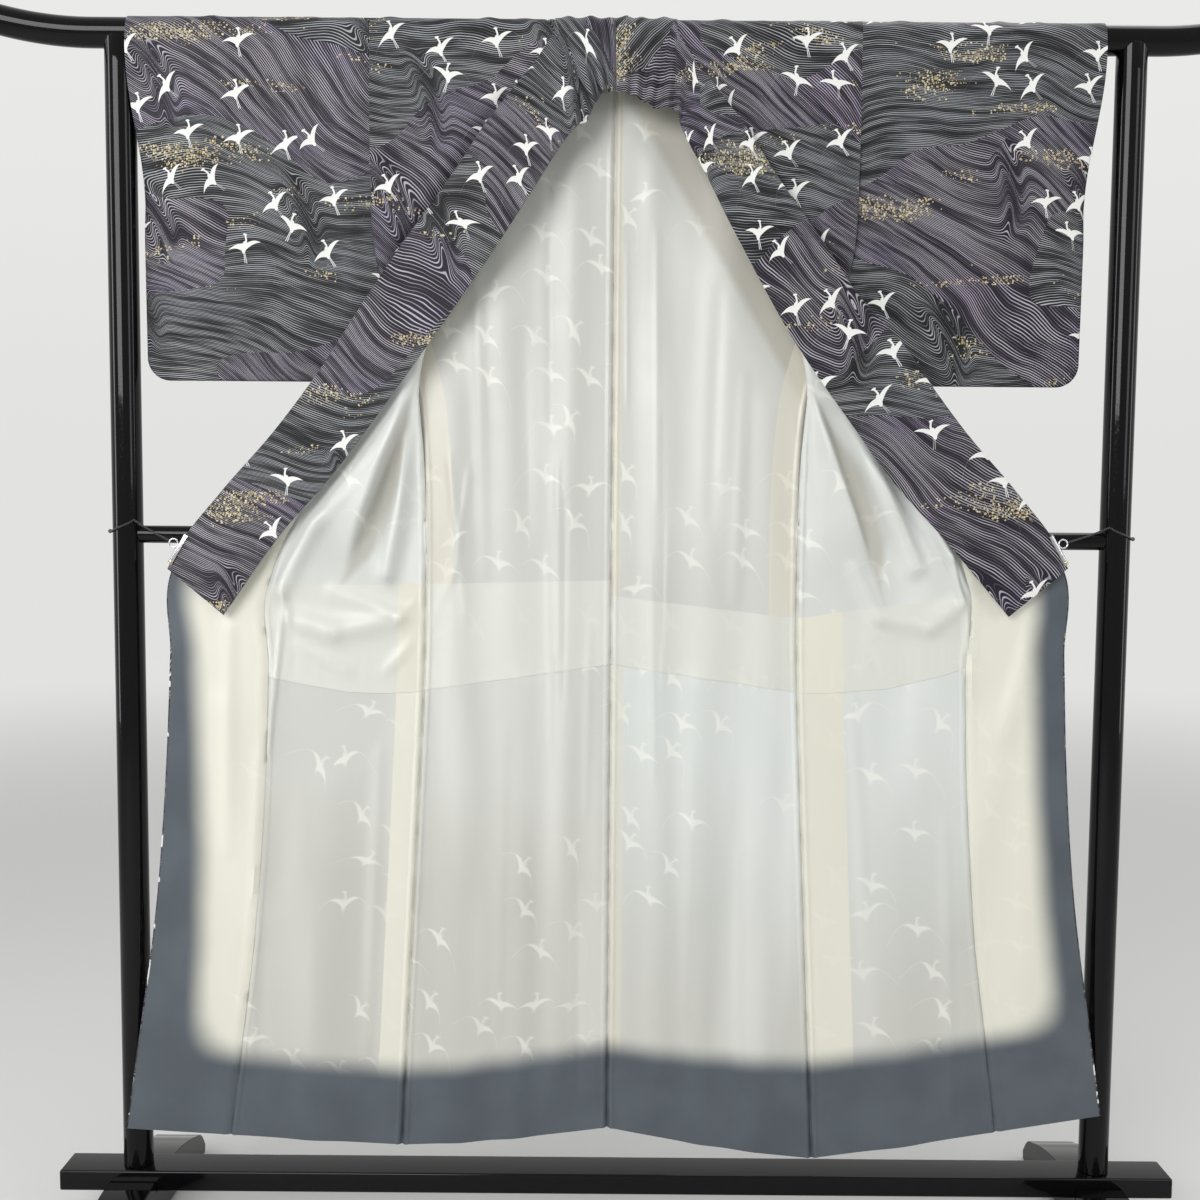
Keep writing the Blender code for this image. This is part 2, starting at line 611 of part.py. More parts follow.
def collar_seam(along, side):
    """Where the collar is sewn: out, depth and fall below the beam's top."""
    neck_drop = NECKLINE_DROP + (NECK_SIDE_DROP - NECKLINE_DROP) * along / NECK_HALF + SEAM_GAP
    turn_drop = NECK_SIDE_DROP + (along - NECK_HALF)
    beam_drop = np.where(along < NECK_HALF, neck_drop, turn_drop)
    beam_depth = over_beam(beam_drop, COLLAR_LIFT)[1]
    beam_out = np.minimum(along, NECK_HALF) - GAP
    drop = QUARTER + np.clip(along - NECK_TURN, 0.0, None) / SEAM_STRETCH
    edge = front_points(drop, front_length(drop), side)
    on_beam = along < NECK_TURN + GAP
    out = np.where(on_beam, np.maximum(beam_out, GAP), edge[..., 0])
    depth = np.where(on_beam, beam_depth, edge[..., 1])
    fall = np.where(on_beam, beam_drop, BEAM_HEIGHT + QUARTER - edge[..., 2])
    return out, depth, fall


def collar_rows():
    """Lengths along the collar's seam, on the same rows as what it is sewn to."""
    turn = np.linspace(NECK_SIDE_DROP, QUARTER, 7)
    front_rows = np.array([drop for drop in FRONT_DROPS if drop <= COLLAR_END])
    on_turn = NECK_HALF + turn - NECK_SIDE_DROP
    on_front = NECK_TURN + (front_rows - QUARTER) * SEAM_STRETCH
    return np.concatenate([NECK_ROWS, on_turn, on_front])


def collar_points(along, part, side):
    """The collar band: part is 0 at its seam and 1 at its free edge.

    A row is a straight line in the unrolled plane of out and drop. On the beam it
    wraps round it; past the neck it stands off its seam by the turned-back edge.
    """
    along, part = np.broadcast_arrays(along, part)
    out, depth, fall = collar_seam(along, side)
    turn = np.clip(read(COLLAR, "along", "turn", along), 0.0, 1.0)
    line = turn * np.clip((part - TURN_SHARE) / (1.0 - TURN_SHARE), 0.0, 1.0) + (1.0 - turn) * part
    free_out = np.maximum(read(COLLAR, "along", "free_out", along), GAP)
    free_depth = read(COLLAR, "along", "free_depth", along)
    free_fall = BEAM_HEIGHT + QUARTER - read(COLLAR, "along", "free_height", along)
    line_fall = fall + (free_fall - fall) * line
    line_out = out + (free_out - out) * line
    wrap_height, wrap_depth = over_beam(line_fall, COLLAR_LIFT)
    hang = np.clip((line_fall - QUARTER) / (free_fall - QUARTER), 0.0, 1.0)
    beam_front = -CLOTH_RADIUS - COLLAR_LIFT
    hang_line = beam_front + (free_depth - beam_front) * hang
    stand_off = 2.0 * TURN_RADIUS * turn
    band_line = depth - stand_off + (free_depth + stand_off - depth) * line
    line_depth = np.where(fall < QUARTER + GAP, hang_line, band_line)
    line_height = BEAM_HEIGHT + QUARTER - line_fall
    wrapped = line_fall < QUARTER
    line_depth = np.where(wrapped, wrap_depth, line_depth)
    line_height = np.where(wrapped, wrap_height, line_height)
    for pleat in PLEATS:
        stand = pleat.stand * np.exp(-((along - pleat.along) / pleat.spread) ** 2)
        line_depth = line_depth - stand * smooth((line_fall - QUARTER) / 0.06) * hang
    return np.stack([line_out, line_depth, line_height], axis=-1)


def collar_band(seam, side):
    """The collar's grid and its normals, turned back at the seam below the beam.

    A row leaves the sewn edge in the edge's own direction and meets its straight
    part on a cubic: start, start direction, end and end direction.
    """
    along = collar_rows()
    part = np.array(COLLAR_COLUMNS)
    band = collar_points(along[:, None], part[None, :], side)
    below = slice(len(along) - len(seam.edge), None)
    turned = part <= TURN_SHARE
    last = int(np.count_nonzero(turned)) - 1
    way = unit(seam.edge - seam.inner)
    start = seam.edge + way * SEAM_GAP
    end = band[below, last]
    end_way = unit(band[below, last + 1] - end)
    turn = np.clip(read(COLLAR, "along", "turn", along[below]), 0.0, 1.0)[:, None]
    reach = np.linalg.norm(end - start, axis=-1, keepdims=True)
    reach = 4.0 * TURN_RADIUS * turn + reach * (1.0 - turn)
    for column in range(last):
        share = part[column] / TURN_SHARE
        ease = share * share * (3.0 - 2.0 * share)
        leave = share * (1.0 - share) ** 2
        arrive = share * share * (1.0 - share)
        place = start * (1.0 - ease) + end * ease
        band[below, column] = place + reach * (leave * way - arrive * end_way)
    normal = normals(band)
    normal[below, 0] = seam.normal
    return band, normal


def add_tube(name, path, radii, sides, surface):
    """A round tube along a path, its frames carried along without twisting."""
    path = np.asarray(path, dtype=float)
    radii = np.broadcast_to(np.asarray(radii, dtype=float), len(path))
    ways = np.gradient(path, axis=0)
    ways = ways / np.linalg.norm(ways, axis=1, keepdims=True)
    up = np.cross(ways[0], (0.31, 0.95, 0.05))
    angle = np.linspace(0.0, 2.0 * math.pi, sides, endpoint=False)
    rings = []
    for centre, way, radius in zip(path, ways, radii):
        up = up - way * np.dot(up, way)
        up = up / np.linalg.norm(up)
        cross = np.cross(way, up)
        rings.append(centre + radius * (np.outer(np.cos(angle), up) + np.outer(np.sin(angle), cross)))
    index = np.arange(len(path) * sides).reshape(len(path), sides)
    following = np.roll(index, -1, axis=1)
    quads = np.stack([index[:-1], following[:-1], following[1:], index[1:]], axis=-1)
    faces = quads.reshape(-1, 4).tolist() + [index[0].tolist(), index[-1].tolist()]
    return add_mesh(name, np.concatenate(rings), faces, surface)


def beam_path(steps):
    """Points along the top beam, which turns up past the posts."""
    ends = np.linspace(UPTURN_START, BEAM_REACH, steps)
    out = np.concatenate([-ends[::-1], ends])
    rise = UPTURN_CURVE * np.clip(np.abs(out) - UPTURN_START, 0.0, None) ** 2
    return np.stack([out, np.zeros_like(out), BEAM_HEIGHT + rise], axis=-1)


def combine(body, others, operation):
    """Cut other objects out of a body or join them to it, and hide them."""
    for other in others:
        modifier = body.modifiers.new(other.name, "BOOLEAN")
        modifier.operation = operation
        modifier.object = other
        other.hide_render = True
        other.display_type = "WIRE"


def add_stand(lacquer):
    """Add the beam, posts, bar, base and feet of the stand."""
    path = beam_path(BEAM_STEPS)
    radii = np.full(len(path), BEAM_RADIUS)
    radii[0] = radii[-1] = BEAM_TIP_RADIUS
    add_tube("top_beam", path, radii, 24, lacquer)
    post_top = BEAM_HEIGHT - 0.007
    foot_x = POST_SPACING / 2
    beam_line = [(-BEAM_REACH, 0.0, BEAM_HEIGHT), (BEAM_REACH, 0.0, BEAM_HEIGHT)]
    saddle = add_tube("beam_cutter", beam_line, BEAM_RADIUS + SEAM_GAP, 32, lacquer)
    sockets = []
    for side in SIDES:
        x = side.sign * foot_x
        ends = [(x, 0.0, BASE_TOP + SEAM_GAP), (x, 0.0, post_top)]
        post = add_tube("post_" + side.name, ends, POST_RADIUS, 24, lacquer)
        combine(post, [saddle], "DIFFERENCE")
        socket = [(x, 0.0, BAR_HEIGHT - BAR_RADIUS * 2), (x, 0.0, BAR_HEIGHT + BAR_RADIUS * 2)]
        name = "socket_cutter_" + side.name
        sockets.append(add_tube(name, socket, POST_RADIUS + SEAM_GAP, 32, lacquer))
    bar_end = foot_x - 0.010
    bar = add_tube("cross_bar", [(-bar_end, 0.0, BAR_HEIGHT), (bar_end, 0.0, BAR_HEIGHT)],
                   BAR_RADIUS, 20, lacquer)
    combine(bar, sockets, "DIFFERENCE")
    add_base(lacquer)
    for side in SIDES:
        add_foot(side, lacquer)


def add_base(lacquer):
    """Add the long base beam, its edges eased."""
    mesh = bpy.data.meshes.new("base_beam")
    shape = bmesh.new()
    bmesh.ops.create_cube(shape, size=1.0)
    size = (BASE_LENGTH, BASE_DEPTH, BASE_THICKNESS)
    bmesh.ops.scale(shape, vec=size, verts=shape.verts)
    bmesh.ops.translate(shape, vec=(0.0, 0.0, BASE_TOP - BASE_THICKNESS / 2), verts=shape.verts)
    bmesh.ops.bevel(shape, geom=shape.edges, offset=0.002, segments=2, affect="EDGES")
    shape.to_mesh(mesh)
    shape.free()
    mesh.materials.append(lacquer)
    made = bpy.data.objects.new("base_beam", mesh)
    bpy.context.collection.objects.link(made)


# A foot from its middle to its toe: distance out, height of the top
FootPoint = namedtuple("FootPoint", "out height")
FOOT_TOP = (
    FootPoint(0.0281, 0.0680),
    FootPoint(0.0600, 0.0670),
    FootPoint(0.1100, 0.0590),
    FootPoint(0.1600, 0.0440),
    FootPoint(0.1900, 0.0280),
    FootPoint(0.2000, 0.0120),
)
FOOT_PAD = 0.055
FOOT_ARCH = 0.010
FOOT_TOP_WIDTH = 0.068


def add_foot(side, lacquer):
    """Add a foot: a long low block with a saddle for the base beam."""
    saddle = BASE_TOP - BASE_THICKNESS - SEAM_GAP
    half = FOOT_LENGTH / 2
    outline = [(0.0, saddle), (FOOT_TOP[0].out, saddle)]
    outline += [(point.out, point.height) for point in FOOT_TOP]
    outline += [(half - 0.004, 0.0), (half - FOOT_PAD, 0.0), (half - FOOT_PAD - 0.02, FOOT_ARCH)]
    ring = outline[::-1] + [(-out, height) for out, height in outline[1:]]
    ring = np.array(ring)
    widths = FOOT_WIDTH + (FOOT_TOP_WIDTH - FOOT_WIDTH) * ring[:, 1] / FOOT_TOP[0].height
    centre = side.sign * POST_SPACING / 2
    count = len(ring)
    points = []
    for sign in (-1, 1):
        points += [(centre + sign * w / 2, depth, height) for w, (depth, height) in zip(widths, ring)]
    faces = [list(range(count)), list(range(2 * count - 1, count - 1, -1))]
    for first in range(count):
        second = (first + 1) % count
        faces.append([first, second, count + second, count + first])
    add_mesh("foot_" + side.name, points, faces, lacquer)


def clip_frame(side):
    """The clip's middle on the collar's seam, its way down and its way out."""
    ends = [front_points(drop, front_length(drop), side) for drop in (CLIP_FROM, CLIP_TO)]
    middle = (ends[0] + ends[1]) / 2
    down = unit(ends[1] - ends[0])
    out = unit(np.array([-down[2], 0.0, down[0]]))
    return middle, down, out, float(np.linalg.norm(ends[1] - ends[0]))


def placed(side, points):
    """Points of the half on +X, put on their own side."""
    points = np.array(points)
    points[:, 0] = KIMONO_X + side.sign * points[:, 0]
    return points


def prism(name, side, section, start, end, surface):
    """A straight bar with a section of points out from one line."""
    points = [start + offset for offset in section] + [end + offset for offset in section]
    count = len(section)
    faces = [list(range(count)), list(range(count, 2 * count))]
    for first in range(count):
        second = (first + 1) % count
        faces.append([first, second, count + second, count + first])
    return add_mesh(name, placed(side, points), faces, surface)


def ring_centre(side):
    """Middle of the ring on a clip."""
    middle, down, out, _ = clip_frame(side)
    stack = 2.0 * TURN_RADIUS + COLLAR_CLOTH - CLOTH
    return middle + out * RING_OUT - down * RING_UP - np.array([0.0, stack / 2, 0.0])


def add_clip(side, chrome):
    """Add a clip: a sprung steel channel over the collar's edge, a tab and a ring."""
    middle, down, out, length = clip_frame(side)
    back = CLOTH + GAP + CLIP_CLEAR
    face = -2.0 * TURN_RADIUS - COLLAR_CLOTH - GAP - 2.0 * CLIP_CLEAR
    spine = CLIP_SPINE + CLIP_STEEL
    outline = (
        (CLIP_MOUTH, back),
        (CLIP_SPINE, back),
        (CLIP_SPINE, face),
        (CLIP_MOUTH, face),
        (CLIP_MOUTH, face - CLIP_STEEL),
        (spine, face - CLIP_STEEL),
        (spine, back + CLIP_STEEL),
        (CLIP_MOUTH, back + CLIP_STEEL),
    )
    deep = np.array([0.0, 1.0, 0.0])
    section = [out * reach + deep * depth for reach, depth in outline]
    half = down * length / 2
    clip = prism("clip_" + side.name, side, section, middle - half, middle + half, chrome)
    centre = ring_centre(side)
    tab_middle = centre - out * RING_OUT
    tab_out = (CLIP_SPINE + CLIP_STEEL / 2, TAB_OUT)
    tab_deep = (-TAB_THICKNESS / 2, TAB_THICKNESS / 2)
    tab_outline = ((0, 0), (1, 0), (1, 1), (0, 1))
    tab_section = [out * tab_out[a] + deep * tab_deep[b] for a, b in tab_outline]
    half = down * TAB_LENGTH / 2
    tab_ends = (tab_middle - half, tab_middle + half)
    tab = prism("tab_cutter_" + side.name, side, tab_section, *tab_ends, chrome)
    angle = np.linspace(0.0, 2.0 * math.pi, 20, endpoint=False)[:, None, None]
    round_wire = np.linspace(0.0, 2.0 * math.pi, 8, endpoint=False)[None, :, None]
    spoke = out * np.cos(angle) + down * np.sin(angle)
    ring_points = centre + spoke * (RING_RADIUS + RING_WIRE * np.cos(round_wire))
    ring_points = ring_points + deep * RING_WIRE * np.sin(round_wire)
    index = np.arange(ring_points.shape[0] * ring_points.shape[1]).reshape(ring_points.shape[:2])
    after = np.roll(index, -1, axis=0)
    corners = (index, np.roll(index, -1, axis=1), np.roll(after, -1, axis=1), after)
    faces = np.stack(corners, axis=-1).reshape(-1, 4).tolist()
    ring = add_mesh("ring_cutter_" + side.name, placed(side, ring_points.reshape(-1, 3)), faces, chrome)
    combine(clip, (tab, ring), "UNION")


def add_tie(side, cord):
    """Add the cord that holds a clip: from its ring, over the bar, round the post."""
    post_out = POST_SPACING / 2 - side.sign * KIMONO_X
    start = ring_centre(side)
    turns = []
    for turn in TIE_TURNS:
        angle = math.radians(turn.angle)
        radius = POST_RADIUS + turn.radius + TIE_CLEAR
        out = post_out + radius * math.sin(angle)
        turns.append((out, -radius * math.cos(angle), BAR_HEIGHT + turn.rise))
    to_post = np.array(turns[0]) - start
    leave = unit(to_post) * (RING_RADIUS + RING_WIRE + TIE_RADIUS + SEAM_GAP)
    path = [start + leave, start + leave + (to_post - leave) * 0.5] + turns
    radii = [TIE_RADIUS, TIE_RADIUS] + [turn.radius for turn in TIE_TURNS]
    add_tube("tie_" + side.name, placed(side, path), radii, 8, cord)


def build():
    """Build every piece."""
    silk = material("outer silk", OUTER_SILK, 0.55)
    upper_silk = material("upper lining silk", UPPER_SILK, 0.5)
    lower_silk = material("lower lining silk", LOWER_SILK, 0.5)
    lacquer = material("black lacquer", LACQUER, 0.12)
    chrome = material("bright steel", CHROME, 0.15, 1.0)
    cord = material("black cord", CORD_BLACK, 0.7)
    sleeve, sleeve_normal = sleeve_rows()
    for side in SIDES:
        seam = add_body(side, silk, upper_silk, lower_silk)
        back_wall = slice(ARC_STEPS, ARC_STEPS + SLEEVE_STEPS)
        add_wall("sleeve_" + side.name, sleeve, sleeve_normal, side, *OUTER, silk, True, back_wall)
        band, band_normal = collar_band(seam, side)
        add_wall("collar_" + side.name, band, band_normal, side, *BAND, silk)
        add_clip(side, chrome)
        add_tie(side, cord)
    add_stand(lacquer)


for old in list(bpy.data.objects):
    bpy.data.objects.remove(old)
build()
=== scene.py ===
"""A lined komon kimono hung over a black lacquered kimono stand, its fronts clipped open.

Metres, +Z up. The viewer stands at -Y. Each half of the garment is worked out as the
half on +X and then put on its own side.
"""
import math
from collections import namedtuple

import bmesh
import bpy
import numpy as np
from mathutils import Matrix


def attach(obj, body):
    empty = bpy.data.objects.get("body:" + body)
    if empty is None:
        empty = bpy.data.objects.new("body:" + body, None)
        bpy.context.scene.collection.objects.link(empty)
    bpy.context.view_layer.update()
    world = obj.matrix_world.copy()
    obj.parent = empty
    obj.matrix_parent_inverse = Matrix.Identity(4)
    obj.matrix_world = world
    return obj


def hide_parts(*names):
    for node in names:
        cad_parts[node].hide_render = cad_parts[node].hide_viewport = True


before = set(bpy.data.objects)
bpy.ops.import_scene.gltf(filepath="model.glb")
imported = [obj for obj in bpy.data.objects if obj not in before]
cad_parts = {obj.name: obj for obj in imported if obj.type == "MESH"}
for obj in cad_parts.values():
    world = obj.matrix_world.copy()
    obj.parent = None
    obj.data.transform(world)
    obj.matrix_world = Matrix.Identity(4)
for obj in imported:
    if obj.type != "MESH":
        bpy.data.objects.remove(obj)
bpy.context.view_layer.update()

# The stand: turned and planed wood, sanded, primed and lacquered black until it shines.
# The top rail curves up past the posts, which hold it in a saddle cut in their tops.
# The cross bar is let into the posts, and the base beam lies in a notch of each foot.
POST_SPACING = 1.41
POST_RADIUS = 0.021
POSTS = (("left", -POST_SPACING / 2), ("right", POST_SPACING / 2))
RAIL_RADIUS = 0.0205
RAIL_HEIGHT = 1.7085
RAIL_REACH = 0.95
RAIL_TIP_RADIUS = 0.0154
RAIL_TAPER_FROM = 0.908
RAIL_RIM = 0.003
UPTURN_START = 0.74
UPTURN_CURVE = 0.95
BAR_RADIUS = 0.0125
BAR_HEIGHT = 1.0115
BASE_SIZE = (1.624, 0.055, 0.030)
BASE_TOP = 0.084
BASE_EDGE = 0.003
JOINT_GAP = 0.0003
# Points round the rail, a post and the bar, rows up a post's wall, how far its wall stops
# below the rail's axis, how far its edges are eased, the rings in over its saddle, and
# those in over the bar's end
ROUND_SIDES = 56
POST_ROWS = 14
POST_LIP = 0.007
POST_EASE = 0.001
POST_EASE_DROP = 0.0008
SADDLE_REACH = (POST_RADIUS, POST_RADIUS - 0.0006, 0.016, 0.010, 0.005, 0.001)
BAR_END_REACH = (0.001, 0.006, 0.0115, BAR_RADIUS)
FOOT_WIDTH = 0.075
FOOT_TOP_WIDTH = 0.068
FOOT_HALF = 0.200
FOOT_NOTCH = 0.0281
FOOT_PAD = 0.055
FOOT_ARCH = 0.010
FOOT_EASE = 0.0016
# A foot from its middle to its toe: distance out, height of the top
FootPoint = namedtuple("FootPoint", "out height")
FOOT_TOP = (
    FootPoint(0.0281, 0.0680),
    FootPoint(0.0600, 0.0670),
    FootPoint(0.1100, 0.0590),
    FootPoint(0.1600, 0.0440),
    FootPoint(0.1900, 0.0280),
    FootPoint(0.2000, 0.0120),
)


def smooth(value):
    """Ease from 0 to 1 as the value runs from 0 to 1: 3 v squared less 2 v cubed."""
    value = np.clip(value, 0.0, 1.0)
    return value * value * (3.0 - 2.0 * value)


def mix(first, last, share):
    """A share of the way from first to last."""
    return first + (last - first) * share


def bell(distance, spread):
    """A bell curve: exp(-(distance / spread) squared)."""
    return np.exp(-(distance / spread) ** 2)


def points_at(*distances):
    """Points from their distances along each axis, spread over one another."""
    return np.stack(np.broadcast_arrays(*distances), axis=-1)


def cubic(part):
    """Shares of a cubic's end, of its slope at the start and of its slope at the end."""
    ease = part * part * (3.0 - 2.0 * part)
    return ease, part * (1.0 - part) ** 2, part * part * (1.0 - part)


def read(table, key, column, at):
    """Read a table's column at any key, on the cubic through each two rows."""
    keys = np.array([getattr(row, key) for row in table])
    values = np.array([getattr(row, column) for row in table])
    slopes = np.gradient(values, keys)
    at = np.clip(np.asarray(at, dtype=float), keys[0], keys[-1])
    row = np.clip(np.searchsorted(keys, at) - 1, 0, len(keys) - 2)
    step = keys[row + 1] - keys[row]
    part = (at - keys[row]) / step
    ease, leave, arrive = cubic(part)
    bend = leave * slopes[row] - arrive * slopes[row + 1]
    return values[row] * (1.0 - ease) + values[row + 1] * ease + step * bend


def unit(vectors):
    """Vectors made one long."""
    size = np.linalg.norm(vectors, axis=-1, keepdims=True)
    return vectors / np.maximum(size, 1e-12)


def feed(made, sockets):
    """Set a node's sockets, by name, to values or to the outputs that feed them."""
    for key, value in sockets.items():
        if isinstance(value, Level):
            value = value.socket
        if isinstance(value, bpy.types.NodeSocket):
            made.id_data.links.new(value, made.inputs[key])
        else:
            made.inputs[key].default_value = value
    return made


def node(tree, kind, sockets=None, **settings):
    """Add a shading node, with its settings and what its sockets get."""
    made = tree.nodes.new("ShaderNode" + kind)
    for key, value in settings.items():
        setattr(made, key, value)
    return feed(made, sockets or {})


def arithmetic(operation):
    """A step of arithmetic on a level and up to two more numbers."""
    def step(self, *others):
        sockets = dict(enumerate((self, *others)))
        made = node(self.socket.id_data, "Math", sockets, operation=operation)
        return Level(made.outputs[0])
    return step


class Level:
    """A number that a finish works out at each point, on which plain formulas work."""
    __add__ = __radd__ = arithmetic("ADD")
    __mul__ = __rmul__ = arithmetic("MULTIPLY")
    __sub__ = arithmetic("SUBTRACT")
    __truediv__ = arithmetic("DIVIDE")
    __pow__ = arithmetic("POWER")
    __abs__ = arithmetic("ABSOLUTE")
    __gt__ = arithmetic("GREATER_THAN")
    __lt__ = arithmetic("LESS_THAN")
    least = arithmetic("MINIMUM")
    most = arithmetic("MAXIMUM")
    sine = arithmetic("SINE")
    root = arithmetic("SQRT")
    exponent = arithmetic("EXPONENT")

    def __init__(self, socket):
        self.socket = socket

    def __rsub__(self, other):
        return self * -1.0 + other


def between(level, low, high, first=0.0, last=1.0):
    """Ease from first to last as the level runs from low to high."""
    sockets = {0: level, 1: low, 2: high, 3: first, 4: last}
    made = node(level.socket.id_data, "MapRange", sockets, interpolation_type="SMOOTHSTEP")
    return Level(made.outputs[0])


def noise(place, scale, detail, output=0, **settings):
    """Cloudy noise at a place, with lumps one metre / scale apart."""
    sockets = {"Vector": place, "Scale": scale, "Detail": detail}
    return Level(node(place.id_data, "TexNoise", sockets, **settings).outputs[output])


def bump(height, strength, distance):
    """The surface's slope where a height stands out of it."""
    sockets = {"Strength": strength, "Distance": distance, "Height": height}
    return node(height.socket.id_data, "Bump", sockets).outputs[0]


def new_finish(name, colour, roughness):
    """A new material, with its nodes and its shader."""
    finish = bpy.data.materials.new(name)
    finish.use_nodes = True
    shader = finish.node_tree.nodes["Principled BSDF"]
    feed(shader, {"Base Color": (*colour, 1.0), "Roughness": roughness})
    return finish, finish.node_tree, shader


def black_lacquer():
    """Polished black lacquer: a slow unevenness in its gloss and a trace of dust."""
    finish, tree, shader = new_finish("black_lacquer_gloss", (0.0022, 0.0022, 0.0027), 0.06)
    where = node(tree, "TexCoord").outputs["Object"]
    feed(shader, {
        "Roughness": between(noise(where, 420.0, 3.0), 0.45, 0.80, 0.045, 0.20),
        "Normal": bump(noise(where, 26.0, 1.5), 0.06, 0.002),
        "Specular IOR Level": 0.23,
    })
    return finish


def add_piece(name, mesh, stands_for, sharp):
    """Add a closed mesh as a piece of the object that stands for a CAD node. Edges
    sharper than the given degrees stay sharp."""
    shape = bmesh.new()
    shape.from_mesh(mesh)
    bmesh.ops.recalc_face_normals(shape, faces=shape.faces)
    shape.to_mesh(mesh)
    shape.free()
    mesh.shade_smooth()
    mesh.set_sharp_from_angle(angle=math.radians(sharp))
    piece = bpy.data.objects.new(name, mesh)
    bpy.context.collection.objects.link(piece)
    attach(piece, "root")
    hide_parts(stands_for)
    return piece


def add_solid(name, points, faces, finish, stands_for, sharp=50.0):
    """Add a piece of one finish from its points and faces."""
    mesh = bpy.data.meshes.new(name)
    mesh.from_pydata(np.asarray(points).reshape(-1, 3).tolist(), [], faces)
    mesh.materials.append(finish)
    return add_piece(name, mesh, stands_for, sharp)


def add_rings(name, rings, finish, stands_for, sharp=50.0):
    """Add a piece made of rings joined one to the next."""
    faces = ring_faces(*rings.shape[:2])
    return add_solid(name, rings, faces, finish, stands_for, sharp)


def ring_faces(rows, sides, endless=False):
    """Faces of rings joined one to the next, closed at both ends or without an end."""
    index = np.arange(rows * sides).reshape(rows, sides)
    ends = [index[0].tolist(), index[-1].tolist()]
    if endless:
        index = np.concatenate([index, index[:1]])
        ends = []
    after = np.roll(index, -1, axis=1)
    quads = np.stack([index[:-1], after[:-1], after[1:], index[1:]], axis=-1)
    return quads.reshape(-1, 4).tolist() + ends


def tube_rings(path, radii, across, sides):
    """Rings round a path: centre + radius x (cos a x u + sin a x v), with u and v
    square to the path and to the given direction across."""
    way = unit(np.gradient(path, axis=0))
    first = unit(np.cross(way, across))
    second = np.cross(way, first)
    angle = np.linspace(0.0, 2.0 * math.pi, sides, endpoint=False)[None, :, None]
    spokes = first[:, None] * np.cos(angle) + second[:, None] * np.sin(angle)
    return path[:, None] + spokes * np.asarray(radii)[:, None, None]


lacquer = black_lacquer()

# The rail from its middle out: straight, then the upturn, then the round rim of its end
straight_rows = np.linspace(0.02, UPTURN_START, 18)[:-1]
rise_rows = np.linspace(UPTURN_START, RAIL_REACH - RAIL_RIM, 34)[:-1]
rim = RAIL_REACH - RAIL_RIM * np.cos(np.linspace(0.0, math.pi / 2, 6))
half = np.concatenate([straight_rows, rise_rows, rim, [RAIL_REACH]])
taper = smooth((half - RAIL_TAPER_FROM) / (RAIL_REACH - RAIL_TAPER_FROM))
radius = mix(RAIL_RADIUS, RAIL_TIP_RADIUS, taper)
past_rim = np.clip((half - RAIL_REACH + RAIL_RIM) / RAIL_RIM, 0.0, 1.0)
radius = radius - RAIL_RIM * (1.0 - np.sqrt(1.0 - past_rim ** 2))
radius[-1] = 0.001
out = np.concatenate([-half[::-1], half])
rise = UPTURN_CURVE * np.clip(np.abs(out) - UPTURN_START, 0.0, None) ** 2
path = points_at(out, 0.0, RAIL_HEIGHT + rise)
path[[0, -1], 0] += (-1e-5, 1e-5)
radii = np.concatenate([radius[::-1], radius])
add_rings("lacquered_top_rail", tube_rings(path, radii, (0.0, 1.0, 0.0), ROUND_SIDES), lacquer,
          "top_beam")

# Each post in rings from the middle of its foot end, up the wall, and in over the saddle
angle = np.linspace(0.0, 2.0 * math.pi, ROUND_SIDES, endpoint=False)
for name, post_x in POSTS:
    wall = np.linspace(BASE_TOP + JOINT_GAP + POST_EASE, RAIL_HEIGHT - 0.05, POST_ROWS)
    reach = np.concatenate([[POST_EASE, POST_RADIUS - POST_EASE],
                            np.full(POST_ROWS, POST_RADIUS), SADDLE_REACH])[:, None]
    across = reach * np.sin(angle)
    cradle = np.sqrt(np.clip((RAIL_RADIUS + JOINT_GAP) ** 2 - across ** 2, 0.0, None))
    height = RAIL_HEIGHT - np.maximum(POST_LIP, cradle)
    height[:2] = BASE_TOP + JOINT_GAP
    height[2:2 + POST_ROWS] = wall[:, None]
    height[2 + POST_ROWS] -= POST_EASE_DROP
    rings = points_at(post_x + reach * np.cos(angle), across, height)
    add_rings("lacquered_post_" + name, rings, lacquer, "post_" + name, 40.0)

# The cross bar's ends are hollowed to the round of the posts
reach = np.array(BAR_END_REACH)
reach = np.concatenate([reach, np.full(9, BAR_RADIUS), reach[::-1]])[:, None]
along = np.concatenate([-np.ones(4), np.linspace(-0.99, 0.99, 9), np.ones(4)])[:, None]
across = reach * np.sin(angle)
end = POST_SPACING / 2 - np.sqrt((POST_RADIUS + JOINT_GAP) ** 2 - across ** 2)
rings = points_at(along * end, across, BAR_HEIGHT + reach * np.cos(angle))
add_rings("lacquered_cross_bar", rings, lacquer, "cross_bar")

# The base beam's section is a rectangle with round corners, drawn in at both ends
turn = np.linspace(0.0, math.pi / 2, 7)
corner = np.concatenate([turn + quarter * math.pi / 2 for quarter in range(4)])
corner_sign = np.repeat([[1, 1], [-1, 1], [-1, -1], [1, -1]], 7, axis=0)
length, depth, thickness = BASE_SIZE
corner_mid = corner_sign * (np.array([depth, thickness]) / 2 - BASE_EDGE)
end_turn = np.concatenate([-turn[::-1], turn])[:, None]
end_sign = np.repeat([-1.0, 1.0], 7)[:, None]
beam_out = end_sign * (length / 2 - BASE_EDGE) + BASE_EDGE * np.sin(end_turn)
round_size = BASE_EDGE * np.cos(end_turn) + 1e-5
rings = points_at(
    beam_out,
    corner_mid[:, 0] + round_size * np.cos(corner),
    BASE_TOP - thickness / 2 + corner_mid[:, 1] + round_size * np.sin(corner),
)
add_rings("lacquered_base_beam", rings, lacquer, "base_beam")

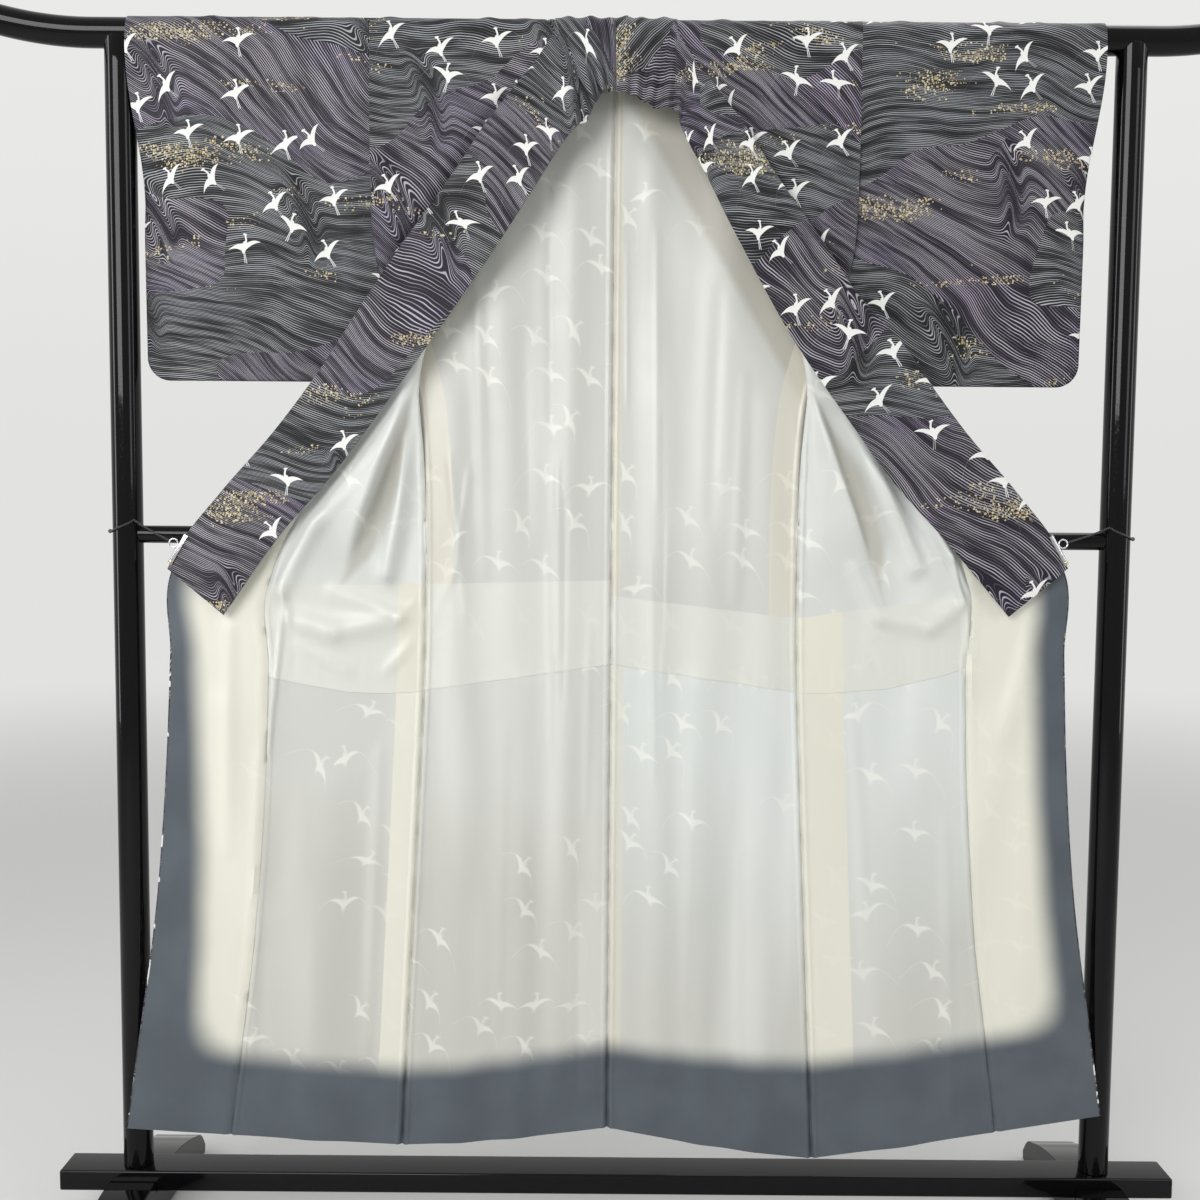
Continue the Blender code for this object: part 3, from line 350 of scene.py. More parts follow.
# A foot's side view, from the notch along its top to the toe and back along its sole
top_out = np.linspace(FOOT_NOTCH, FOOT_HALF, 30)
top_line = points_at(top_out, read(FOOT_TOP, "out", "height", top_out))
sole = [(FOOT_HALF - 0.004, 0.0), (FOOT_HALF - FOOT_PAD, 0.0),
        (FOOT_HALF - FOOT_PAD - 0.02, FOOT_ARCH)]
outline = np.concatenate([[(FOOT_NOTCH, BASE_TOP - thickness - JOINT_GAP)], top_line, sole])
outline = np.concatenate([outline[::-1], outline * (-1, 1)])
widths = mix(FOOT_WIDTH, FOOT_TOP_WIDTH, outline[:, 1] / FOOT_TOP[0].height)
count = len(outline)
foot_faces = [list(range(count)), list(range(count, 2 * count))]
foot_faces += [[a, (a + 1) % count, count + (a + 1) % count, count + a] for a in range(count)]
for name, foot_x in POSTS:
    cheeks = [points_at(foot_x + sign * widths / 2, *outline.T) for sign in (-1, 1)]
    foot = add_solid("lacquered_foot_" + name, cheeks, foot_faces, lacquer, "foot_" + name,
                     25.0)
    eased = foot.modifiers.new("eased edges", "BEVEL")
    eased.width = FOOT_EASE
    eased.segments = 3
    eased.limit_method = "ANGLE"
    eased.angle_limit = math.radians(35.0)
    eased.harden_normals = True

# The body: two lengths of patterned silk, one each side of the centre back. Each runs
# from the back hem up over the rail and down to the front hem. The fronts are turned
# back over themselves below the collar and pulled out to the clips.
# The cut: widths, and places by their drop below the shoulder. The overlap panel, the
# okumi, comes to its point under the collar, and its seam begins a little lower
BODY_LENGTH = 1.62
SHOULDER_WIDTH = 0.340
NECK_HALF = 0.085
OKUMI_TIP = 0.240
OKUMI_TOP = 0.252
OKUMI_AT_COLLAR = 0.135
OKUMI_AT_HEM = 0.150
COLLAR_END = 0.820
WAIST_SEAM = 0.930
FRONT_LINING_TOP = 0.36
OKUMI_LINING_TOP = 0.61
BACK_LINING_TOP = 0.065
# The silk's thickness, the gap of a closed seam, and the air between cloth and rail
SILK = 0.0007
SEAM_GAP = 0.0003
GAP = SEAM_GAP / 2
RAIL_CLEAR = 0.0006
# Where the garment hangs: its middle, the depth of its back and of its fronts' side edge,
# the height of its hem at the centre back, and the drop from which the hem lifts
KIMONO_X = -0.014
BACK_DEPTH = -0.0155
FRONT_DEPTH = -0.021
CENTRE_HEM = 0.150
HEM_LIFT_FROM = 0.90
# The roll of the turned-back edge: its radius, the ease of its step in depth, how far it
# lags where less than a width is turned back, the run over which a row is fitted to the
# side edge, how far the cloth leans forward before the roll, and what the collar covers
ROLL_RADIUS = 0.006
ROLL_EASE = 0.0054
ROLL_LAG = 0.012
ROLLED_FROM = 0.04
SHIFT_RUN = 0.05
TURNED_LEAN = 0.4
COLLAR_COVER = 0.11
# The sides: sewn to the sleeve down to the underarm, then front lapped on back, then open
UNDERARM = 0.32
UNDERARM_EASE = 0.08
SIDE_OPENS = 0.60
SIDE_OPENS_EASE = 0.11
SIDE_LAP = 0.0040
# The grids: columns of the body, how they crowd to its edges, columns of the overlap,
# steps from row to row, and rows round the rail
BODY_COLUMNS = 101
CROWDED = 0.6
OKUMI_COLUMNS = 22
ROW_STEP = 0.0105
FINE_STEP = 0.0055
ROUND_RAIL = 30

# Each side's hem at the side seam and at the front edge, where it is cut from the
# printed length, and how far its front is pulled out
Side = namedtuple("Side", "name sign side_hem edge_hem pattern pull")
SIDES = (
    Side("left", -1, 0.122, 0.150, 3.17, -0.006),
    Side("right", 1, 0.106, 0.180, 7.43, 0.012),
)
# The pull grows over this width past the side edge and lifts the cloth by this share. A
# front lies this far in under the turned-back edge
PULL_RUN = 0.12
PULL_RISE = 0.45
UNDER_TURN = 0.006

# Rows by the drop below the shoulder, measured along the cut: distances out of the side
# edge, the turned-back roll and the collar seam, and whether the front is turned back
FrontRow = namedtuple("FrontRow", "drop side roll seam seam_height seam_depth fold")
FRONT = (
    FrontRow(0.033, 0.340, 0.085, 0.085, 1.7085, -0.0209, 1.0),
    FrontRow(0.065, 0.340, 0.104, 0.106, 1.6750, -0.0235, 1.0),
    FrontRow(0.100, 0.340, 0.116, 0.130, 1.6400, -0.0290, 1.0),
    FrontRow(0.160, 0.340, 0.137, 0.172, 1.5800, -0.0335, 1.0),
    FrontRow(0.230, 0.339, 0.158, 0.217, 1.5110, -0.0350, 1.0),
    FrontRow(0.335, 0.333, 0.193, 0.287, 1.4150, -0.0355, 1.0),
    FrontRow(0.400, 0.318, 0.228, 0.330, 1.3520, -0.0350, 1.0),
    FrontRow(0.470, 0.293, 0.258, 0.378, 1.2880, -0.0340, 1.0),
    FrontRow(0.530, 0.277, 0.269, 0.418, 1.2310, -0.0330, 0.8),
    FrontRow(0.610, 0.268, 0.267, 0.474, 1.1580, -0.0320, 0.2),
    FrontRow(0.710, 0.264, 0.264, 0.550, 1.0720, -0.0310, 0.0),
    FrontRow(0.790, 0.264, 0.264, 0.608, 0.9990, -0.0300, 0.0),
    FrontRow(0.820, 0.264, 0.264, 0.624, 0.9690, -0.0300, 0.0),
    FrontRow(0.950, 0.267, 0.267, 0.630, 0.8450, -0.0300, 0.0),
    FrontRow(1.100, 0.274, 0.274, 0.638, 0.6900, -0.0300, 0.0),
    FrontRow(1.300, 0.284, 0.284, 0.656, 0.4850, -0.0300, 0.0),
    FrontRow(1.500, 0.294, 0.294, 0.686, 0.2830, -0.0300, 0.0),
    FrontRow(1.620, 0.300, 0.300, 0.704, 0.1650, -0.0300, 0.0),
)

# Folds and creases: a straight crest from one point to another, how wide it spreads and
# how far it stands towards the viewer, or back where it is less than 0. side is -1 or 1
# where only the left or right half has it.
Fold = namedtuple("Fold", "side from_out from_height to_out to_height spread stand")
FRONT_FOLDS = (
    Fold(0, 0.560, 0.760, 0.500, 0.460, 0.030, 0.006),
    Fold(0, 0.600, 0.800, 0.600, 0.300, 0.024, 0.005),
    Fold(0, 0.400, 0.640, 0.430, 0.140, 0.034, 0.006),
    Fold(-1, 0.330, 1.170, 0.419, 1.034, 0.0200, 0.0120),
    Fold(-1, 0.419, 1.034, 0.465, 0.936, 0.0140, 0.0150),
    Fold(-1, 0.280, 1.150, 0.316, 0.960, 0.0130, 0.0260),
    Fold(-1, 0.466, 0.947, 0.454, 0.891, 0.0045, 0.0050),
    Fold(-1, 0.454, 0.893, 0.395, 0.876, 0.0150, 0.0100),
    Fold(-1, 0.395, 0.876, 0.304, 0.894, 0.0150, 0.0090),
    Fold(-1, 0.304, 0.892, 0.271, 0.923, 0.0050, 0.0040),
    Fold(-1, 0.286, 0.895, 0.395, 0.932, 0.0100, 0.0060),
    Fold(-1, 0.461, 0.936, 0.487, 0.700, 0.0040, 0.0045),
    Fold(-1, 0.440, 0.857, 0.376, 0.819, 0.0100, 0.0040),
    Fold(-1, 0.277, 0.866, 0.320, 0.820, 0.0080, 0.0036),
    Fold(-1, 0.330, 0.700, 0.350, 0.260, 0.0090, 0.0030),
    Fold(-1, 0.500, 0.700, 0.515, 0.260, 0.0080, 0.0030),
    Fold(-1, 0.540, 0.880, 0.545, 0.560, 0.0090, 0.0040),
    Fold(1, 0.335, 1.180, 0.425, 0.975, 0.0160, 0.0250),
    Fold(1, 0.395, 1.138, 0.476, 0.989, 0.0080, 0.0150),
    Fold(1, 0.476, 0.989, 0.496, 0.922, 0.0060, 0.0120),
    Fold(1, 0.437, 1.062, 0.510, 0.936, 0.0060, 0.0080),
    Fold(1, 0.344, 0.970, 0.380, 0.902, 0.0100, 0.0080),
    Fold(1, 0.380, 0.902, 0.451, 0.891, 0.0145, 0.0090),
    Fold(1, 0.451, 0.891, 0.496, 0.924, 0.0140, 0.0090),
    Fold(1, 0.501, 0.915, 0.514, 0.788, 0.0045, 0.0050),
    Fold(1, 0.366, 0.871, 0.410, 0.814, 0.0100, 0.0036),
    Fold(1, 0.345, 0.780, 0.372, 0.420, 0.0090, 0.0030),
    Fold(1, 0.480, 0.600, 0.500, 0.190, 0.0090, 0.0030),
    Fold(1, 0.600, 0.900, 0.560, 0.740, 0.0140, 0.0060),
)
# A sharp fold that goes on from each turned-back edge. It is steep on one side, the
# middle's where its spread is above 0, and fades slowly on the other
Step = namedtuple("Step", "from_out from_height to_out to_height spread fade stand")
STEPS = {
    -1: Step(0.268, 1.246, 0.378, 0.958, 0.0050, 0.055, 0.0380),
    1: Step(0.272, 1.236, 0.374, 0.958, -0.0050, 0.038, 0.0350),
}
BACK_FOLDS = (
    Fold(0, 0.055, 1.540, 0.075, 0.240, 0.020, 0.006),
    Fold(0, 0.160, 1.500, 0.130, 0.500, 0.030, 0.006),
    Fold(0, 0.225, 1.200, 0.215, 0.140, 0.026, 0.007),
    Fold(0, 0.120, 0.800, 0.135, 0.140, 0.024, 0.006),
    Fold(-1, 0.093, 1.520, 0.088, 1.180, 0.0055, -0.0022),
    Fold(-1, 0.078, 1.120, 0.075, 0.850, 0.0040, 0.0026),
    Fold(-1, 0.066, 1.060, 0.068, 0.780, 0.0036, -0.0020),
    Fold(-1, 0.090, 0.980, 0.084, 0.700, 0.0046, 0.0018),
    Fold(-1, 0.195, 1.420, 0.180, 0.960, 0.0100, 0.0030),
    Fold(-1, 0.230, 1.120, 0.205, 0.900, 0.0060, 0.0026),
    Fold(-1, 0.257, 0.891, 0.221, 0.965, 0.0050, 0.0034),
    Fold(-1, 0.221, 0.965, 0.202, 1.105, 0.0045, 0.0024),
    Fold(-1, 0.030, 0.880, 0.034, 0.620, 0.0060, 0.0018),
    Fold(-1, 0.128, 1.300, 0.120, 1.020, 0.0090, -0.0024),
    Fold(-1, 0.150, 0.740, 0.160, 0.300, 0.0080, 0.0024),
    Fold(-1, 0.046, 0.520, 0.042, 0.200, 0.0060, -0.0016),
    Fold(1, 0.018, 1.420, 0.020, 1.200, 0.0030, 0.0012),
    Fold(1, 0.060, 1.440, 0.064, 1.060, 0.0040, 0.0026),
    Fold(1, 0.071, 1.180, 0.073, 0.860, 0.0040, -0.0022),
    Fold(1, 0.056, 0.980, 0.064, 0.660, 0.0046, 0.0024),
    Fold(1, 0.080, 1.020, 0.074, 0.800, 0.0034, 0.0018),
    Fold(1, 0.150, 1.360, 0.140, 1.040, 0.0100, -0.0028),
    Fold(1, 0.185, 1.240, 0.175, 0.930, 0.0080, 0.0030),
    Fold(1, 0.118, 0.700, 0.112, 0.330, 0.0070, 0.0020),
    Fold(1, 0.186, 0.560, 0.190, 0.220, 0.0080, 0.0020),
)
# The waist seam's puckers: how far they stand, how far they reach from it, how long one is
PUCKER_STAND = 0.0004
PUCKER_SPREAD = 0.016
PUCKER_LENGTH = 0.016
# The side seams show below this drop. Every long seam lies in a narrow groove with a low
# ridge beside it, drawn up by its thread
SEAM_SHOWN = 0.45
GROOVE = 0.0042
GROOVE_SPREAD = 0.0024
RIDGE_SHARE = 0.35
RIDGE_AWAY = 0.0065


def seam_groove(distance, drop):
    """Depth of a seam's groove: a bell curve at the seam less a lower one beside it,
    whose strength wavers along the seam."""
    distance = np.abs(distance)
    waver = 1.0 + 0.25 * np.sin(drop * 170.0) + 0.2 * np.sin(drop * 71.0 + 1.0)
    ridge = RIDGE_SHARE * bell(distance - RIDGE_AWAY, GROOVE_SPREAD)
    return GROOVE * waver * (bell(distance, GROOVE_SPREAD) - ridge)


def crowded(count):
    """Even steps from 0 to 1, crowded towards both ends: t - c sin(2 pi t) / (2 pi)."""
    even = np.linspace(0.0, 1.0, count)
    return even - CROWDED * np.sin(2.0 * math.pi * even) / (2.0 * math.pi)


def front(column, drop):
    """A column of the front's table at a drop below the shoulder."""
    return read(FRONT, "drop", column, drop)


def beside_line(line, out, height):
    """Distances along and across a line, and the line's length."""
    run = np.array([line.to_out - line.from_out, line.to_height - line.from_height])
    length = np.hypot(*run)
    run = run / length
    from_out, from_height = out - line.from_out, height - line.from_height
    along = from_out * run[0] + from_height * run[1]
    return along, from_out * run[1] - from_height * run[0], length


def fold_stand(folds, side, out, height):
    """How far the folds stand towards the viewer: each is its height times
    exp(-(distance from its crest / its spread) squared), lower at both its ends."""
    total = np.zeros(np.broadcast(out, height).shape)
    for fold in folds:
        if fold.side == -side.sign:
            continue
        along, across, length = beside_line(fold, out, height)
        part = np.clip(along / length, 0.0, 1.0)
        distance = np.hypot(across, along - part * length)
        swell = 0.35 + 0.65 * np.sin(math.pi * (0.15 + 0.7 * part))
        total = total + fold.stand * swell * bell(distance, fold.spread)
    return total


def beside_step(step, out, height):
    """Distance from a sharp fold's line on its high side, and the part of its length."""
    along, across, length = beside_line(step, out, height)
    return -across * np.sign(step.spread), along / length


def step_stand(side, out, height):
    """How far the sharp fold stands: a tanh step on the steep side of the line, which
    fades on the other side as exp(-distance / fade), and towards both its ends."""
    step = STEPS[side.sign]
    high_side, part = beside_step(step, out, height)
    edge = 0.5 + 0.5 * np.tanh(high_side / abs(step.spread))
    fade = np.exp(-np.clip(high_side, 0.0, None) / step.fade)
    return step.stand * edge * fade * smooth(part / 0.15 + 0.3) * smooth((1.0 - part) / 0.35)


def puckers(drop, run, side):
    """Small waves where the lining's two lengths are sewn together: a sine whose
    length varies slowly, under a bell curve round the seam."""
    uneven = run + 0.006 * np.sin(run * 31.0 + side.pattern) + 0.004 * np.sin(run * 83.0)
    wave = np.sin(2.0 * math.pi * uneven / PUCKER_LENGTH)
    strength = 0.6 + 0.4 * np.sin(run * 23.0 + 2.0 * side.pattern)
    return PUCKER_STAND * wave * strength * bell(drop - WAIST_SEAM, PUCKER_SPREAD)


# Round the rail: the cloth's radius, and the length of a quarter turn
CLOTH_RADIUS = RAIL_RADIUS + RAIL_CLEAR - SEAM_GAP / 2
QUARTER = CLOTH_RADIUS * math.pi / 2
# Before the cross bar: the slant of the back, how softly it ends, and the depth to keep
BACK_SLOPE = (CLOTH_RADIUS - BACK_DEPTH) / (RAIL_HEIGHT - BAR_HEIGHT)
BAR_EASE = 0.03
BAR_CLEAR = -0.0142
RIPPLE = 0.0016
FLAT_HEM = RAIL_HEIGHT + QUARTER - BODY_LENGTH


def hang_depth(height):
    """Depth of the back: a straight slant from behind the rail to before the cross bar,
    then upright, joined by the soft maximum log(1 + exp)."""
    lift = (height - BAR_HEIGHT) / BAR_EASE
    return BACK_DEPTH + BACK_SLOPE * BAR_EASE * np.logaddexp(0.0, lift)


def before_bar(depth, height):
    """Depth kept in front of the cross bar: the smaller of it and a limit, which lets go
    above and below the bar."""
    limit = BAR_CLEAR + 0.2 * smooth((np.abs(height - BAR_HEIGHT) - 0.018) / 0.05)
    return np.minimum(depth, limit)


def ripple(out, side):
    """Small waves in which the cloth lies on the rail: two sines, never below 0."""
    place = out * side.sign
    wave = np.sin(place * 71.0 + 1.1) * np.sin(place * 27.0 + 0.6) + 0.5 * np.sin(place * 133.0)
    return RIPPLE * np.clip(wave, 0.0, None) ** 1.5


def over_rail(drop, lift=0.0):
    """Height and depth round the top of the rail: a circle, the back side positive."""
    angle = np.clip(drop, -QUARTER, QUARTER) / CLOTH_RADIUS
    reach = CLOTH_RADIUS + lift * np.cos(angle) ** 2
    return RAIL_HEIGHT + reach * np.cos(angle), -reach * np.sin(angle)


def hem_lift(drop):
    """How much of the hem's lift a drop has."""
    return smooth((drop - HEM_LIFT_FROM) / (BODY_LENGTH - HEM_LIFT_FROM))


def side_seam_groove(from_side, drop):
    """The groove along the side seam, which is sewn flat under the sleeve."""
    return seam_groove(from_side, drop) * smooth((drop - SEAM_SHOWN) / 0.1)


def side_edge(drop):
    """Distance out of the body's side edge, never past the sleeve's seam."""
    return np.minimum(front("side", drop), SHOULDER_WIDTH)


def back_points(drop, across, side):
    """The back at a drop: across is 0 at the side edge and 1 at the centre seam. Its folds
    fade out towards the rail and towards both edges."""
    out = side_edge(drop) * (1.0 - across)
    height = RAIL_HEIGHT + QUARTER - drop + 0.0 * across
    depth = hang_depth(height)
    side_lift = (side.side_hem - FLAT_HEM) * (1.0 - across)
    centre_lift = (CENTRE_HEM - FLAT_HEM) * across ** 1.5
    height = height + (side_lift + centre_lift) * hem_lift(drop)
    free = smooth((drop - QUARTER) / 0.15) * smooth((1.0 - across) / 0.2 + 0.3)
    free = free * smooth(across / 0.15)
    depth = depth - (fold_stand(BACK_FOLDS, side, out, height) + puckers(drop, out, side)) * free
    grooves = seam_groove(out, drop) + side_seam_groove(side_edge(drop) * across, drop)
    depth = depth + grooves * smooth((drop - 0.05) / 0.05)
    depth = np.where(drop > 0.2, before_bar(depth, height), depth)
    return points_at(out, depth, height)


def front_length(drop):
    """Length of a row of the front from its side edge to its inner edge."""
    return front("side", drop) - 2.0 * front("roll", drop) + front("seam", drop)


def roll_lag(turned_width):
    """How far the roll starts past its place where little is turned back yet."""
    return ROLL_LAG * (1.0 - smooth(turned_width / ROLLED_FROM))


def okumi_width(drop):
    """Width of the overlap panel: it comes to a point under the collar."""
    upper = OKUMI_AT_COLLAR * (drop - OKUMI_TIP) / (COLLAR_END - OKUMI_TIP)
    lower_part = (drop - COLLAR_END) / (BODY_LENGTH - COLLAR_END)
    lower = mix(OKUMI_AT_COLLAR, OKUMI_AT_HEM, lower_part)
    return np.where(drop < OKUMI_TOP, 0.0, np.where(drop < COLLAR_END, upper, lower))


def front_points(drop, along, side):
    """The front at a drop, at a length along its row from the side edge.

    out is a hyperbola round the roll, sqrt(d squared + r squared) with d the length past
    the roll, shifted to meet the side edge and the seam. depth goes from one to the
    other in a tanh step at the roll where the front is folded, or evenly where open.
    """
    drop, along = np.broadcast_arrays(drop, along)
    fold = front("fold", drop)
    roll = front("roll", drop)
    limb = front("side", drop) - roll
    length = front_length(drop)
    radius = ROLL_RADIUS * fold
    lag = roll_lag(length - limb)
    past = along - limb
    open_limb = np.maximum(length - limb, 1e-6)
    at_side = front("side", drop) - np.hypot(limb + lag, radius)
    at_seam = front("seam", drop) - np.hypot(open_limb - lag, radius)
    run = np.minimum(SHIFT_RUN, 0.5 * limb)
    out = np.hypot(past - lag, radius)
    out = out + at_side + (at_seam - at_side) * smooth((past + run) / (open_limb + run))
    side_height = RAIL_HEIGHT + QUARTER - drop
    share = np.clip(past / open_limb, 0.0, 1.0)
    height = mix(side_height, front("seam_height", drop), share)
    side_lift = (side.side_hem - FLAT_HEM) * (1.0 - share)
    edge_lift = (side.edge_hem - FRONT[-1].seam_height) * share
    height = height + (side_lift + edge_lift) * hem_lift(drop)
    # Depth at the side, before the roll, round it and behind it
    free_side = smooth((drop - UNDERARM) / UNDERARM_EASE)
    open_side = smooth((drop - SIDE_OPENS) / SIDE_OPENS_EASE)
    behind = hang_depth(side_height) - SIDE_LAP * (1.0 - open_side)
    side_depth = FRONT_DEPTH * (1.0 - free_side) + behind * free_side
    lean = TURNED_LEAN * free_side * np.clip(along / np.maximum(limb, 0.001), 0.0, 1.0)
    turned = 0.5 + 0.5 * np.tanh((past - lag) / ROLL_EASE)
    turned = lean + (1.0 - lean) * turned
    opened = np.clip(along / length, 0.0, 1.0) ** 0.8
    step = turned * fold + opened * (1.0 - fold)
    depth = mix(side_depth, front("seam_depth", drop), step)
    # Folds stand where the cloth is loose: not at its edges or under the collar
    from_seam = length - along
    below_collar = smooth((drop - COLLAR_END) / 0.08)
    bared = smooth((from_seam - COLLAR_COVER) / 0.05)
    covered = below_collar + (1.0 - below_collar) * (0.15 + 0.85 * bared)
    loose = smooth(past / 0.03 - 0.2) * smooth(from_seam / 0.05) * covered
    # The clip pulls the front out and up, down to the waist
    pull = side.pull * smooth((out - front("side", drop)) / PULL_RUN)
    out = out + pull
    height = height + PULL_RISE * pull * (1.0 - smooth((drop - 0.85) / 0.3))
    near_turn = bell(out - front("seam", drop) - 0.004, 0.014)
    under = UNDER_TURN * near_turn * smooth((drop - 0.07) / 0.06) * fold
    depth = depth + under * smooth(-past / 0.02)
    stand = fold_stand(FRONT_FOLDS, side, out, height) + step_stand(side, out, height)
    stand = stand + puckers(drop, along + 0.4, side) * (1.0 - fold)
    depth = depth - stand * loose
    panel_seam = seam_groove(from_seam - okumi_width(drop), drop) * smooth((drop - 0.70) / 0.06)
    grooves = side_seam_groove(along, drop) + 0.7 * panel_seam
    return points_at(out, before_bar(depth + grooves, height), height)


def row_lengths(drop, across, start, end):
    """Lengths along rows of the front, closer together round the roll: three straight
    runs, before, round and after it, eased in from even spacing at the shoulder."""
    fold = front("fold", drop)
    limb = front("side", drop) - front("roll", drop)
    turned = front("seam", drop) - front("roll", drop)
    length = end - start
    centre = limb + roll_lag(turned)
    ease = 2.4 * ROLL_RADIUS
    after = np.minimum(centre + np.minimum(ease, 0.6 * np.abs(length - centre)), length - ease)
    before = np.minimum(centre - np.minimum(ease, 0.6 * limb), after - ease)
    before = before * fold + 0.3 * length * (1.0 - fold)
    after = after * fold + 0.6 * length * (1.0 - fold)
    first = np.clip(across / 0.3, 0.0, 1.0) * before
    middle = np.clip((across - 0.3) / 0.3, 0.0, 1.0) * (after - before)
    last = np.clip((across - 0.6) / 0.4, 0.0, 1.0) * (length - after)
    sewn = smooth((drop - QUARTER) / 0.08)
    return start + (first + middle + last) * sewn + across * length * (1.0 - sewn)


def rows_between(marks, steps):
    """Drops from mark to mark, evenly spaced in each stretch, at most its step apart."""
    runs = [np.linspace(first, last, math.ceil((last - first) / step), endpoint=False)
            for first, last, step in zip(marks, marks[1:], steps)]
    return np.concatenate(runs + [marks[-1:]])


def row_at(rows, drop):
    """The row that lies at a drop."""
    return int(np.argmin(np.abs(rows - drop)))


def normals(grid):
    """Unit normals of a grid: at each point the mean of the faces that meet there."""
    face = unit(np.cross(grid[1:, 1:] - grid[:-1, :-1], grid[1:, :-1] - grid[:-1, 1:]))
    padded = np.pad(face, ((1, 1), (1, 1), (0, 0)))
    return unit(padded[1:, 1:] + padded[1:, :-1] + padded[:-1, 1:] + padded[:-1, :-1])


def drawn_in(grid, amounts):
    """Move a grid's first and last rows and columns in by the given amounts."""
    first_row, last_row, first_column, last_column = amounts
    grid = grid.copy()
    for rows, amount in ((grid, first_row), (grid[::-1], last_row)):
        rows[0] += unit(rows[1] - rows[0]) * amount
    columns = grid.transpose(1, 0, 2)
    for lines, amount in ((columns, first_column), (columns[::-1], last_column)):
        lines[0] += unit(lines[1] - lines[0]) * amount
    return grid


def corners_of(sheet):
    """The four corners of each face of a grid, in order."""
    return np.stack([sheet[:-1, :-1], sheet[:-1, 1:], sheet[1:, 1:], sheet[1:, :-1]], axis=2)


def on_own_side(points, side):
    """Points worked out on +X, put on their own side."""
    placed = points.copy()
    placed[..., 0] = KIMONO_X + side.sign * points[..., 0]
    return placed


def add_cloth(name, grid, normal, side, walls, cut, finishes, stands_for, loop=False,
              marks=None):
    """Close the space between two offsets of a grid into one wall of cloth.

    cut is each point's place on the flat cloth, in metres, and becomes the UV map. marks
    are numbers at each point that the finish reads. The second finish is the inner face's.
    """
    layers = on_own_side(np.stack([grid + normal * wall for wall in walls]), side)
    index = np.arange(layers[..., 0].size).reshape(layers.shape[:3])
    if loop:
        index = np.concatenate([index, index[:, :, :1]], axis=2)
    flat = np.stack([cut, cut])
    strips = [np.s_[0], np.s_[1], np.s_[:, 0, :], np.s_[:, -1, :]]
    if not loop:
        strips += [np.s_[:, :, 0], np.s_[:, :, -1]]
    quads = np.concatenate([corners_of(index[strip]).reshape(-1, 4) for strip in strips])
    spots = np.concatenate([corners_of(flat[strip]).reshape(-1, 2) for strip in strips])
    mesh = bpy.data.meshes.new(name + side.name)
    mesh.from_pydata(layers.reshape(-1, 3).tolist(), [], quads.tolist())
    mesh.uv_layers.new(name="cut").data.foreach_set("uv", spots.ravel())
    for key, values in (marks or {}).items():
        mark = mesh.attributes.new(key, "FLOAT", "POINT")
        mark.data.foreach_set("value", np.tile(values.ravel(), 2).astype(np.float32))
    for finish in finishes:
        mesh.materials.append(finish)
    if len(finishes) > 1:
        face_count = (index.shape[1] - 1) * (index.shape[2] - 1)
        which = np.zeros(len(quads), dtype=np.int32)
        which[face_count:2 * face_count] = 1
        mesh.polygons.foreach_set("material_index", which)
    return add_piece(name + side.name, mesh, stands_for + side.name, 55.0)


def vectors(operation, first, *others):
    """One step of arithmetic on points."""
    sockets = dict(enumerate((first, *others)))
    return node(first.id_data, "VectorMath", sockets, operation=operation).outputs[0]


def parts(place):
    """The three numbers of a place."""
    return [Level(out) for out in node(place.id_data, "SeparateXYZ", {0: place}).outputs]


def turned(place, angle):
    """A place turned round the origin in the plane of the cloth."""
    sockets = {0: place, "Angle": angle}
    return node(place.id_data, "VectorRotate", sockets, rotation_type="Z_AXIS").outputs[0]


def flat_noise(place, scale, detail, output=0):
    """Cloudy noise in the plane of the cloth."""
    return noise(place, scale, detail, output, noise_dimensions="2D")


def cells(place, per_metre, scatter=1.0):
    """Scattered cells: each one's centre, three chances of its own, and the distance."""
    sockets = {"Vector": place, "Scale": per_metre, "Randomness": scatter}
    cell = node(place.id_data, "TexVoronoi", sockets, voronoi_dimensions="2D", feature="F1")
    chances = node(place.id_data, "SeparateColor", {0: cell.outputs["Color"]}).outputs
    return (cell.outputs["Position"], [Level(chance) for chance in chances],
            Level(cell.outputs["Distance"]))


def blend(share, first, second):
    """Mix two colours."""
    colours = [(*colour, 1.0) if isinstance(colour, tuple) else colour
               for colour in (first, second)]
    sockets = {0: share, 6: colours[0], 7: colours[1]}
    return node(share.socket.id_data, "Mix", sockets, data_type="RGBA").outputs[2]


def in_ellipse(x, y, middle, radii):
    """Distance inside an ellipse, less than 0 outside: (1 - |p / radii|) x small radius."""
    squares = ((x - middle[0]) / radii[0]) ** 2.0 + ((y - middle[1]) / radii[1]) ** 2.0
    return (1.0 - squares.root()) * min(radii)


def in_stroke(x, y, bend, half_width, low, high):
    """Distance inside a stroke between two heights that follows x = bend."""
    return (half_width - abs(x - bend)).least(y - low).least(high - y)


# The flock: cells 7 cm apart, how scattered they are, and a crane's sizes in centimetres
CELLS_PER_METRE = 14.5
CELL_SCATTER = 0.68
WING_REACH = 2.15
WING_ROOT = 1.12
NECK_TOP = 1.62
LEG_END = -2.25


